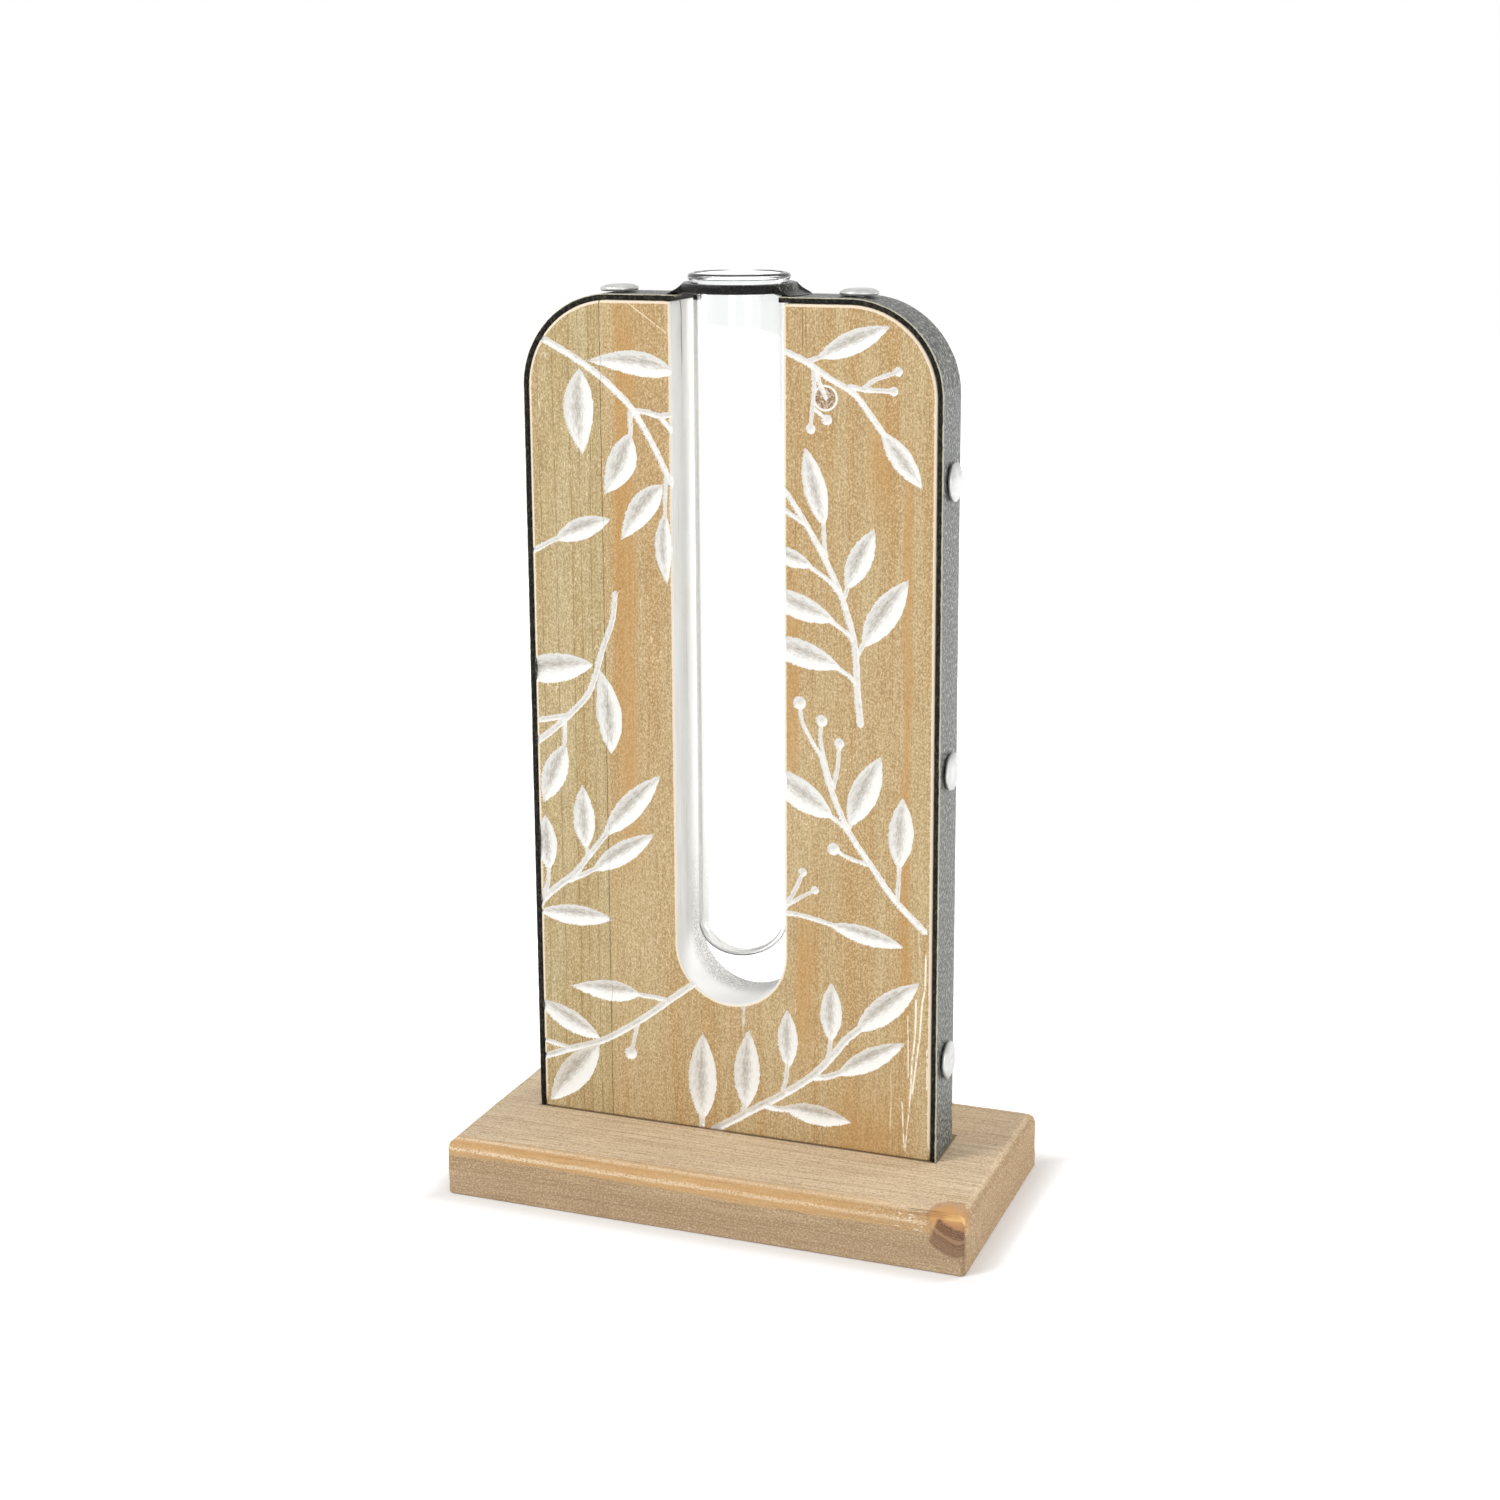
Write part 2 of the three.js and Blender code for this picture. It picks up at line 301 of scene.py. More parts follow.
# %% World and floor
sky_light = 0.54
floor_half_side = 3.0
floor_glow_near = 0.03
floor_glow_far = 0.6
shadow_reach = 16

world = bpy.data.worlds.new("studio")
bpy.context.scene.world = world
world.use_nodes = True


def seen(nodes):
    """One for a ray from the camera, off a mirror or through glass, and nought for any other."""
    share = nodes.add("LightPath", output="Is Camera Ray")
    for kind in ("Is Glossy Ray", "Is Transmission Ray"):
        share = nodes.larger(share, nodes.add("LightPath", output=kind))
    return share


sky_nodes = Network(world.node_tree)
sky = world.node_tree.nodes["Background"]
sky.inputs["Color"].default_value = (1, 1, 1, 1)
sky_strength = sky_nodes.plus(sky_nodes.times(seen(sky_nodes), 1 - sky_light), sky_light)
sky_nodes.connect(sky_strength, sky.inputs["Strength"])

floor = Finish("studio_floor")
floor.set(Base_Color=(0.9, 0.9, 0.9, 1), Roughness=0.9, Specular_IOR_Level=0.0)
floor_x, floor_y, _ = floor.axes(floor.place())
beside_foot = floor.minus(floor.size(floor_x), foot_high[0])
before_foot = floor.minus(floor.size(floor_y), foot_high[1])
from_foot = floor.larger(beside_foot, before_foot)
floor_glow = floor.band(from_foot, 0, shadow_reach, floor_glow_near, floor_glow_far)
floor.set(Emission_Color=(1, 1, 1, 1), Emission_Strength=floor.times(seen(floor), floor_glow))
floor_mesh = bpy.data.meshes.new("studio_floor")
side = floor_half_side
floor_corners = [(-side, -side, 0), (side, -side, 0), (side, side, 0), (-side, side, 0)]
floor_mesh.from_pydata(floor_corners, [], [(0, 1, 2, 3)])
floor_mesh.materials.append(floor.material)
studio_floor = into_scene("studio_floor", floor_mesh)
print("floor of", 2 * floor_half_side, "m, least glow within", shadow_reach, "mm of the foot")

# %% [markdown]
# Three round lamps do the lighting. The key stands high on the left and the fill low on the right. The third
# shines from behind on the right into the slot, whose left wall would be dark without it, and it is hidden
# from mirror rays, so that it makes no bright spot on the nails or the glass.

# %% Lamps
def lamp(name, place, aim, width, power):
    data = bpy.data.lights.new(name, "AREA")
    data.shape = "DISK"
    data.size = width
    data.energy = power
    made = into_scene(name, data)
    made.location = place
    made.rotation_euler = (Vector(aim) - Vector(place)).to_track_quat("-Z", "Y").to_euler()
    return made


vase_middle = (0, 0, 0.13)
lamp("key_light", (-0.8, -0.8, 1.35), vase_middle, 0.6, 13)
lamp("fill_light", (1.15, -1.25, 0.5), vase_middle, 0.9, 5.5)
slot_light = lamp("slot_light", (1.1, 1.25, 0.35), vase_middle, 0.8, 25)
slot_light.visible_glossy = False

# %% [markdown]
# ## Turning points into pieces
#
# All pieces come from lists of points and faces, because a carved leaf or a bent strap has no ready-made
# primitive. One function takes points in millimetres, makes the mesh, gives each face its finish, and
# keeps edges crisp where two faces meet at a steep angle. It also hangs the piece from an empty for the
# body it moves with and hides the plain solids it stands for.

# %% The function that makes every piece
def make_piece(name, points, faces, body, nodes, slot, finishes, crisp, face_finish=None, measures=None):
    mesh = bpy.data.meshes.new(name)
    mesh.from_pydata((np.array(points, float) * MM).tolist(), [], faces)
    for finish in finishes:
        mesh.materials.append(finish.material)
    if face_finish is not None:
        mesh.polygons.foreach_set("material_index", face_finish)
    for measure, values in (measures or {}).items():
        values = np.array(values, float)
        kind, field = ("FLOAT", "value") if values.ndim == 1 else ("FLOAT_VECTOR", "vector")
        mesh.attributes.new(measure, kind, "POINT").data.foreach_set(field, values.ravel())
    mesh.validate()
    mesh.shade_smooth()
    mesh.set_sharp_from_angle(angle=math.radians(crisp))
    made = into_scene(name, mesh)
    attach(made, body)
    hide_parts(*nodes)
    print(name, len(mesh.vertices), "points", len(mesh.polygons), "faces")
    return made


# %% [markdown]
# ## Drawing the sprigs
#
# The face carries sprigs of lance-shaped leaves on thin stems, with a few berries, all cut with a gouge.
# They could be a bump texture, but the cuts are over a millimetre deep and catch the light, so they are real
# geometry. A leaf is given by its base, its tip, its width, where it is widest and how far its midrib bows.
# A stem is given by a few points that a smooth curve passes through, and a berry by its middle and radius.
# The places were read from a flattened tracing of the face, which is a little wide at the foot and a
# little low in the middle; one function puts that right.

# %% The tracing of the face, laid on the board
tracing_half_width = 59.3
tracing_bottom = 15
tracing_height = 234.3
tracing_wide_at_foot = 1.026
tracing_narrows_by = 0.054
tracing_low_in_middle = 3.3


def on_face(point):
    """From the tracing to millimetres right of the board's middle and above the foot."""
    share = (point[1] - tracing_bottom) / tracing_height
    wide = tracing_wide_at_foot - tracing_narrows_by * share
    across = point[0] * board_half / tracing_half_width * wide
    return np.array([across, board_height * share + tracing_low_in_middle * 4 * share * (1 - share)])


# Each leaf is base, tip, width, and where it differs from straight and widest in the middle, belly and bow.
LEAVES = [
    ((-43, 231.8), (-16, 229.3), 6.8, 0.62, 1.2),
    ((-44.8, 229.5), (-44, 205), 9, 0.45, -0.7),
    ((-29.3, 211.5), (-37.3, 194), 8.5, 0.45, 1),
    ((-19.7, 197.5), (-32.4, 181), 7.5, 0.42, -0.6),
    ((-18.8, 190), (-18.3, 169.3), 5, 0.48, -0.9),
    ((-53, 180.3), (-35.5, 187), 6.2, 0.48, 0.3),
    ((-41.3, 145), (-68, 141), 8.5),
    ((-39.5, 144), (-36, 119.8), 7.6, 0.55, 1.1),
    ((-50.3, 121.3), (-57.5, 103.8), 7.5),
    ((-44.3, 91.5), (-45.2, 110.3), 6.8, 0.45),
    ((-38.8, 95.8), (-21, 114.8), 7.2),
    ((-56, 84), (-57, 100.5), 6.3),
    ((-42.5, 85.3), (-23, 97.8), 6.3),
    ((-59.5, 72), (-36, 72), 6.1, 0.5),
    ((-28, 51.2), (-49.7, 51.2), 6.3, 0.4),
    ((-40.3, 36.8), (-60.5, 46), 6.5),
    ((-40.7, 35), (-56.3, 16.7), 9),
    ((-9, 17), (-8.7, 42.5), 8.6, 0.48),
    ((4, 22.5), (5.2, 45.2), 7.8, 0.45),
    ((16.8, 35.5), (16.7, 52.3), 6),
    ((29.4, 44.5), (29.7, 61.5), 6.4),
    ((36.5, 48.3), (55, 64.2), 7.5),
    ((31, 35.5), (50.8, 47), 6.3),
    ((15, 24.3), (35.3, 22.7), 6.1),
    ((26.5, 234.5), (47.5, 243.7), 6.3),
    ((44.8, 215), (56.3, 199.8), 6),
    ((28.3, 188), (22.8, 210), 6.5),
    ((25, 176.8), (10, 182), 5),
    ((34.5, 171), (42.7, 188.3), 6.8),
    ((39, 155.5), (52.3, 174.8), 8),
    ((31.5, 162), (8, 170), 7),
    ((33, 149.3), (8, 156.5), 7.5),
    ((30.5, 107.5), (10, 120), 8.5),
    ((35, 105.5), (44.3, 125.8), 8),
    ((49.3, 95), (50.5, 115), 7.2),
    ((29, 77.7), (50.8, 73.5), 5.3),
]

# Each stem is its width at the start and at the end, and then the points it passes through.
STEMS = [
    (2, 1.8, (-62, 240.5), (-56.5, 238), (-48, 233.6), (-40, 228.7), (-33, 223), (-28, 217.7), (-22, 208),
     (-17, 198)),
    (1.6, 1.6, (-28.5, 218.2), (-24, 217.8), (-20, 216.9), (-13, 218.5)),
    (1.8, 1.2, (-20.5, 217), (-17, 213), (-14, 208)),
    (1.6, 1.4, (-29.3, 217.5), (-29.2, 211.5), (-30.6, 208.6)),
    (1.4, 1.2, (-18.6, 199), (-18.8, 193), (-18.8, 187)),
    (1.7, 1.3, (-62, 176), (-59.2, 177), (-54, 179.8), (-50, 181.4)),
    (1.7, 2, (-34.4, 165.8), (-35.3, 158.2), (-38.5, 149.4), (-42.4, 137.6), (-48, 131), (-54, 125.5),
     (-63, 118.5)),
    (1.7, 1.6, (-50.5, 129.5), (-54, 128.7), (-62, 127)),
    (1.6, 1.4, (-50.7, 129), (-50.5, 124), (-51, 119)),
    (2.4, 1.6, (-62, 68), (-58.3, 75), (-53, 80), (-48, 84), (-43.5, 89.5), (-37, 97.6)),
    (1.7, 1.4, (-49.5, 82), (-46, 83.6), (-40.5, 86.6)),
    (1.5, 1.4, (-45, 88), (-43.8, 90), (-44.5, 94.5)),
    (1.5, 1.4, (-57.5, 77.5), (-56.3, 81), (-56, 87)),
    (2, 2, (-11, 56.4), (-15, 53.5), (-25, 45.8), (-33, 40.3), (-40.5, 36), (-50, 32.6), (-62, 27.8)),
    (1.6, 1.4, (-51, 33), (-55, 33.8), (-62, 34.9)),
    (1.6, 1.4, (-19.5, 50.5), (-24, 50.9), (-31, 51.1)),
    (1.3, 1.2, (-28.5, 43), (-29.3, 40), (-30.6, 34.5)),
    (1.9, 1.7, (-9.3, 12), (-9.2, 15.2), (-9, 20)),
    (1.7, 1.6, (2.4, 19.4), (3.2, 21), (4.2, 26)),
    (1.5, 1.4, (15.3, 29.5), (16, 32), (16.8, 38)),
    (2.3, 2.2, (-5.5, 15.2), (0, 18.5), (8, 23.5), (16, 28.5), (24, 34.5), (30, 41), (34, 46), (38.5, 50)),
    (2, 1.6, (23, 33.8), (28, 34.6), (34, 37.2)),
    (1.4, 1.3, (28.3, 39.5), (29, 42.5), (29.5, 47)),
    (2, 1.6, (10, 24), (13, 23.7), (18, 24)),
    (1.8, 1.8, (12, 238), (16.3, 236.5), (23, 233.5), (30, 229), (37, 225), (43, 217.5), (46, 213.4)),
    (1.5, 1.3, (23.6, 233.4), (28, 235)),
    (1.5, 1.3, (26, 231.5), (27, 228), (29, 223.5)),
    (1.4, 1.2, (25.5, 232), (25.5, 226), (24.5, 215.3)),
    (1.2, 1.1, (25.5, 220.5), (27.5, 219), (29, 217.8)),
    (1.5, 1.3, (36, 227), (40, 226.2), (48, 226)),
    (1.3, 1.2, (40, 226.8), (43, 229), (49.3, 231.3)),
    (1.6, 2.1, (12, 204), (18, 196), (23, 188.5), (28.5, 179), (33.5, 168), (36.8, 156), (37.5, 144),
     (38.4, 134)),
    (1.4, 1.4, (12, 195.5), (19, 190.8), (22.8, 188.7)),
    (1.4, 1.3, (28.7, 180), (28.3, 183), (28, 190)),
    (1.4, 1.3, (31.5, 171), (29.5, 173.3), (22.5, 177.8)),
    (1.4, 1.3, (33.5, 167.5), (34, 169), (35.2, 172.8)),
    (1.4, 1.3, (37.3, 151), (37.6, 153), (40, 157.5)),
    (1.4, 1.3, (36.3, 157), (34.8, 159), (29, 162.8)),
    (1.5, 1.3, (37.3, 145.3), (35, 147.5), (30, 150.2)),
    (1.2, 1.3, (20.8, 138.8), (22, 132.5), (27.5, 123.5)),
    (1.2, 1.4, (27.2, 134.3), (27, 128), (30, 116)),
    (1.2, 1.4, (32.3, 128.4), (31.8, 122), (30.5, 116)),
    (1.7, 2, (27.2, 124), (30, 115), (35, 104), (41.5, 95), (48, 86.5), (56.5, 78.6)),
    (1.4, 1.3, (34, 105), (30.5, 107.5), (27.5, 109.3)),
    (1.4, 1.3, (34.5, 104), (36, 107.6)),
    (1.4, 1.3, (48.7, 86), (49, 90), (49.5, 98)),
    (1.3, 1.3, (30.5, 98.9), (35, 96.8), (41, 95.3)),
    (1.6, 1.2, (12, 75), (16.4, 81.5), (20, 88), (21.3, 91.3)),
    (1.2, 1.1, (15, 80.6), (21, 84.5), (24.8, 86.7)),
    (1.6, 1.4, (12, 79.4), (21, 79.3), (32, 77.2)),
    (0.9, 0.5, (3.5, 53.5), (3.8, 50), (3.8, 46)),
]

BERRIES = [
    ((-30.8, 33.8), 1.9), ((24.5, 215), 1.4), ((29.2, 217.6), 1.5), ((48.3, 226), 1.3), ((49.6, 231.4), 1.3),
    ((20.8, 138.8), 1.9), ((27.2, 134.3), 1.7), ((32.3, 128.4), 1.5), ((30.5, 98.9), 1.8),
    ((21.4, 91.5), 1.3), ((25, 86.8), 1.2),
]
print(len(LEAVES), "leaves,", len(STEMS), "stems,", len(BERRIES), "berries")

# %% [markdown]
# ## From a drawing to a cut
#
# Each shape answers two questions for any point of the face: how far inside the outline it is, and how
# deep the gouge went there. A leaf is a bowl with a steep rim and a slight crease along its midrib. A
# stem is a shallow round groove. Slow, seeded ripples in the widths stand for the wobble of a hand-held tool.

# %% The wobble of a hand and the rim of a cut
hand_wobble = 0.085
rim_depth = 0.42
rim_run = 0.18
outline_step = 0.6
dice = np.random.default_rng(7)


def ripple(amount):
    """A slow random wave: a function of a distance in millimetres."""
    waves = [(dice.uniform(0.8, 3.2), dice.uniform(0, 2 * math.pi)) for _ in range(4)]
    return lambda distance: amount * sum(np.sin(pace * distance + start) for pace, start in waves) / 2


def rim(inside):
    return rim_depth * np.clip(inside / rim_run, 0, 1)


print("the rim of a cut drops", rim_depth, "mm within", rim_run, "mm")

# %% [markdown]
# A leaf is described in its own terms: a share of the way from base to tip, and an offset to one side. Its
# width grows and shrinks as two powers of that share, which gives the lance shape. The paint along the midrib
# is grey, partly thin paint and partly painted shade: the grey patch is shifted towards the upper left side
# of each leaf, where the wall of the bowl faces away from the light.

# %% A leaf
leaf_fullness = 1.9
leaf_depth_share = 0.15
leaf_roundness = 0.6
# Which way and how far the midrib grey is shifted: painted shade on the leaf wall that faces away from the
# light.
painted_shade_towards = np.array([-0.8, 0.6])
painted_shade_shift = 0.3


class Leaf:
    def __init__(self, base, tip, width, belly=0.48, bow=0.0):
        self.base, self.tip = on_face(base), on_face(tip)
        self.length = float(np.linalg.norm(self.tip - self.base))
        self.ahead = (self.tip - self.base) / self.length
        self.aside = np.array([-self.ahead[1], self.ahead[0]])
        self.half, self.bow = width / 2, bow
        self.start, self.stop = leaf_fullness * belly, leaf_fullness * (1 - belly)
        self.fullest = belly ** self.start * (1 - belly) ** self.stop
        self.ripples = {1: ripple(hand_wobble), -1: ripple(hand_wobble)}
        self.reach = self.length / 2 + 2
        self.middle = (self.base + self.tip) / 2

    def half_width(self, share, side):
        share = np.clip(share, 0, 1)
        plain = self.half * share ** self.start * (1 - share) ** self.stop / self.fullest
        wave = np.where(side > 0, self.ripples[1](share * self.length), self.ripples[-1](share * self.length))
        return np.maximum(plain + wave * np.clip(plain, 0, 1), 0.02)

    def place(self, share, offset):
        share = np.asarray(share, float)
        across = offset + self.bow * 4 * share * (1 - share)
        return self.base + np.outer(share * self.length, self.ahead) + np.outer(across, self.aside)

    def outline(self, grow=0.0):
        count = max(8, int(self.length / outline_step))
        share = (1 - np.cos(np.linspace(0, math.pi, count))) / 2
        left = self.place(share, self.half_width(share, 1) + grow)
        right = self.place(share[::-1], -self.half_width(share[::-1], -1) - grow)
        return np.vstack([left, right[1:-1]])

    def read(self, points):
        """How far inside each point is, how deep the cut is there, and how far along and across it lies."""
        off = points - self.base
        share = off @ self.ahead / self.length
        across = off @ self.aside - self.bow * 4 * share * (1 - share)
        half = self.half_width(share, across)
        inside = half - np.abs(across)
        past_end = np.maximum(-share, share - 1) * self.length
        inside = np.where(past_end > 0, -np.hypot(past_end, across), inside)
        middle_share = np.clip(1 - np.abs(across) / half, 0, 1)
        bowl = leaf_roundness * (1 - (1 - middle_share) ** 2) + (1 - leaf_roundness) * middle_share
        fullness = np.clip(half / self.half, 0, 1) ** leaf_roundness
        depth = rim(inside) + leaf_depth_share * 2 * self.half * fullness * bowl
        # The grey core is measured from a line shifted towards the upper left: painted shade on the shaded
        # wall.
        for_painted_light = across - half * painted_shade_shift * float(self.aside @ painted_shade_towards)
        core = np.clip(1 - np.abs(for_painted_light) / half, 0, 1) * fullness
        return inside, np.where(inside > 0, depth, 0), share * self.length, across, core


print("a leaf is cut", leaf_depth_share, "of its width deep, besides the rim")

# %% [markdown]
# A stem is a smooth curve that passes through all its points, with a width at every step. A point of the
# face belongs to the step whose groove it lies deepest in. Down the middle of a wider groove the paint turns
# grey: painted shade for the shadow in the groove. Narrow stems stay white.

# %% A stem
stem_depth_share = 0.27
stem_wobble = 0.6
# The grey painted down the middle of a stem's groove and of a berry's dimple, and the least stem width that
# gets it: painted shade.
groove_shade = 0.62
least_shaded_width = 1.1


class Stem:
    def __init__(self, start_width, end_width, *points):
        corners = [on_face(point) for point in points]
        corners = [2 * corners[0] - corners[1]] + corners + [2 * corners[-1] - corners[-2]]
        line = []
        for before, here, there, after in zip(corners, corners[1:], corners[2:], corners[3:]):
            count = max(2, int(np.linalg.norm(there - here) / outline_step))
            for i in range(count):
                t = i / count
                pull = 2 * here + (there - before) * t + (2 * before - 5 * here + 4 * there - after) * t ** 2
                line.append((pull + (3 * here - before - 3 * there + after) * t ** 3) / 2)
        self.line = np.array(line + [corners[-2]])
        steps = np.linalg.norm(np.diff(self.line, axis=0), axis=1)
        self.walked = np.concatenate([[0], np.cumsum(steps)])
        share = self.walked / self.walked[-1]
        wave = ripple(hand_wobble)
        self.half = (start_width + (end_width - start_width) * share) / 2 + wave(self.walked) * stem_wobble
        self.middle = (self.line.min(0) + self.line.max(0)) / 2
        self.reach = np.linalg.norm(self.line.max(0) - self.line.min(0)) / 2 + 3

    def outline(self, grow=0.0):
        ahead = np.gradient(self.line, axis=0)
        ahead /= np.linalg.norm(ahead, axis=1)[:, None]
        aside = np.column_stack([-ahead[:, 1], ahead[:, 0]]) * (self.half + grow)[:, None]
        start = self.line[:1] - ahead[:1] * (self.half[0] + grow)
        end = self.line[-1:] + ahead[-1:] * (self.half[-1] + grow)
        return np.vstack([start, self.line + aside, end, (self.line - aside)[::-1]])

    def read(self, points):
        first, step = self.line[:-1], np.diff(self.line, axis=0)
        long = (step ** 2).sum(1)
        off = points[:, None, :] - first[None]
        share = np.clip((off * step[None]).sum(2) / long, 0, 1)
        away = np.linalg.norm(off - share[..., None] * step[None], axis=2)
        half = self.half[:-1] + share * np.diff(self.half)
        best = np.argmax(half - away, axis=1)
        row = np.arange(len(points))
        half, away = half[row, best], away[row, best]
        inside = half - away
        bowl = np.clip(1 - (away / half) ** 2, 0, 1)
        depth = rim(inside) + stem_depth_share * 2 * half * bowl
        # Painted shade down the middle of the groove, for stems wider than the least width.
        core = groove_shade * np.clip(1 - away / half, 0, 1) * (half * 2 > least_shaded_width)
        return inside, np.where(inside > 0, depth, 0), self.walked[best], away, core


print("a stem is cut", stem_depth_share, "of its width deep, besides the rim")

# %% [markdown]
# A berry is a round dimple that one turn of the gouge leaves. With that, every shape of the tables above can
# be made. The leaves come first, because each shape draws its own random ripples in turn.

# %% A berry, and all the shapes
# How far out from its middle a berry's painted shade reaches.
berry_shade_reach = 1.2


class Berry:
    def __init__(self, middle, radius):
        self.middle, self.radius = on_face(middle), radius
        self.reach = radius + 2

    def outline(self, grow=0.0):
        angle = np.linspace(0, 2 * math.pi, 20, endpoint=False)
        return self.middle + (self.radius + grow) * np.column_stack([np.cos(angle), np.sin(angle)])

    def read(self, points):
        away = np.linalg.norm(points - self.middle, axis=1)
        inside = self.radius - away
        bowl = np.clip(1 - (away / self.radius) ** 2, 0, 1)
        depth = rim(inside) + leaf_depth_share * 2 * self.radius * bowl
        # Painted shade in the middle of the dimple.
        core = groove_shade * np.clip(berry_shade_reach - away / self.radius, 0, 1)
        return inside, np.where(inside > 0, depth, 0), away, away, core


shapes = [Leaf(*leaf) for leaf in LEAVES] + [Stem(*stem) for stem in STEMS]
shapes += [Berry(*berry) for berry in BERRIES]
print("longest leaf", round(max(s.length for s in shapes if isinstance(s, Leaf)), 1), "mm")

# %% [markdown]
# ## The outline of the board
#
# Both top corners are rounded and the slot is open at the top, so one line runs all the way round: up the
# right side, over the corner, down into the slot, up again, and back down the left side. It is worked out
# from the sizes, so that it can also be drawn a little further in, where the sanded edge starts.

# %% Arcs and strokes
def arc(middle, radius, from_degrees, to_degrees, step=0.9):
    count = max(3, int(abs(radius * math.radians(to_degrees - from_degrees)) / step))
    angle = np.radians(np.linspace(from_degrees, to_degrees, count + 1))
    return np.array(middle) + radius * np.column_stack([np.cos(angle), np.sin(angle)])


def stroke(start, end, step=1.5):
    count = max(1, int(math.dist(start, end) / step))
    share = np.linspace(0, 1, count + 1)[:, None]
    return np.array(start) * (1 - share) + np.array(end) * share


print("a quarter of a 10 mm circle:", len(arc((0, 0), 10, 0, 90)), "points")

# %% [markdown]
# The same outline also tells which points lie on the face and which in the open slot. A line drawn from a
# point to the right crosses the outline an odd number of times only when the point is inside it.

# %% Board outline
corner_radius = 24.2
slot_half = 16.0
slot_floor = 38.7
arris_radius = 0.6


def board_outline(inset):
    """The line round the face, counter-clockwise from the lower right corner."""
    right, top, low = board_half - inset, board_height - inset, inset
    slot = slot_half + inset
    corner = (board_half - corner_radius, board_height - corner_radius)
    bend = corner_radius - inset
    slot_middle = (0, slot_floor + slot_half)
    parts = [
        stroke((right, low), (right, corner[1])),
        arc(corner, bend, 0, 90),
        stroke((corner[0], top), (slot, top)),
        stroke((slot, top), (slot, slot_middle[1])),
        arc(slot_middle, slot, 0, -180),
        stroke((-slot, slot_middle[1]), (-slot, top)),
        stroke((-slot, top), (-corner[0], top)),
        arc((-corner[0], corner[1]), bend, 90, 180),
        stroke((-right, corner[1]), (-right, low)),
        stroke((-right, low), (right, low)),
    ]
    return np.vstack([part[:-1] for part in parts])


def inside_outline(points, outline):
    """Whether each point lies inside a closed line, by counting the edges to its right."""
    inside = np.zeros(len(points), bool)
    ends = np.roll(outline, -1, axis=0)
    for (x1, y1), (x2, y2) in zip(outline, ends):
        if y1 == y2:
            continue
        crosses = (y1 > points[:, 1]) != (y2 > points[:, 1])
        at = x1 + (points[:, 1] - y1) / (y2 - y1) * (x2 - x1)
        inside ^= crosses & (points[:, 0] < at)
    return inside


face_outline = board_outline(arris_radius)
print("outline of", len(face_outline), "points")

# %% [markdown]
# ## A mesh that follows the drawing
#
# A plain grid would give the leaves jagged rims. Instead the outlines of all shapes become edges of the
# mesh: a constrained triangulation joins them with a cloud of extra points, dense inside the cuts and thin
# on the flat wood. Then each point sinks by the depth that the shapes give for it.

# %% Gather the points
cut_spacing = 0.5
flat_spacing = 3.5
grid_shake = 0.22
row_outside_rim = 0.25
worn_beside_arris = 0.4


def scatter(low, high, spacing):
    """A slightly shaken grid of points."""
    columns = np.arange(low[0], high[0], spacing)
    rows = np.arange(low[1], high[1], spacing)
    grid = np.array(np.meshgrid(columns, rows)).reshape(2, -1).T
    return grid + dice.uniform(-grid_shake, grid_shake, grid.shape) * spacing


fixed_points, fixed_edges, loose_points = [], [], []


def fix_loop(loop):
    start = sum(len(part) for part in fixed_points)
    fixed_points.append(loop)
    fixed_edges.extend((start + i, start + (i + 1) % len(loop)) for i in range(len(loop)))


fix_loop(face_outline)
seam_line = stroke((seam_u, arris_radius), (seam_u, board_height - arris_radius - 1), 2)
start = len(face_outline)
fixed_points.append(np.vstack([seam_line, [(seam_u, board_height + 1)]]))
fixed_edges.extend((start + i, start + i + 1) for i in range(len(seam_line)))
for shape in shapes:
    fix_loop(shape.outline())
    loose_points.extend([shape.outline(row_outside_rim), shape.outline(-rim_run)])
    cloud = scatter(shape.middle - shape.reach, shape.middle + shape.reach, cut_spacing)
    loose_points.append(cloud[shape.read(cloud)[0] > 0])
loose_points.append(scatter((-board_half, 0), (board_half, board_height), flat_spacing))
loose_points.append(board_outline(arris_radius + worn_beside_arris))
print(len(fixed_edges), "fixed edges and", sum(len(part) for part in loose_points), "loose points")

# %% [markdown]
# A loose point too close to a fixed one would make a sliver, so it goes, and where loose points crowd
# together only one of them stays. The triangulation keeps every outline as a row of edges.

# %% Triangulate the face
least_distance = 0.16
free_beside_arris = 0.3

fixed = np.vstack(fixed_points)
taken = kdtree.KDTree(len(fixed))
for i, point in enumerate(fixed):
    taken.insert((*point, 0), i)
taken.balance()
loose = np.vstack(loose_points)
loose = loose[inside_outline(loose, board_outline(arris_radius + free_beside_arris))]
loose = loose[[taken.find((*point, 0))[2] > least_distance for point in loose]]
cells = np.unique(np.floor(loose / (0.7 * least_distance)), axis=0, return_index=True)[1]
loose = loose[np.sort(cells)]
drawn = [Vector(point) for point in np.vstack([fixed, loose])]
face_points, _, face_triangles = geometry.delaunay_2d_cdt(drawn, fixed_edges, [], 0, 1e-4, False)[:3]
face_points = np.array([tuple(point) for point in face_points])
face_triangles = np.array([tuple(triangle) for triangle in face_triangles])
centres = face_points[face_triangles].mean(1)
face_triangles = face_triangles[inside_outline(centres, face_outline)]
print("face of", len(face_points), "points and", len(face_triangles), "triangles")
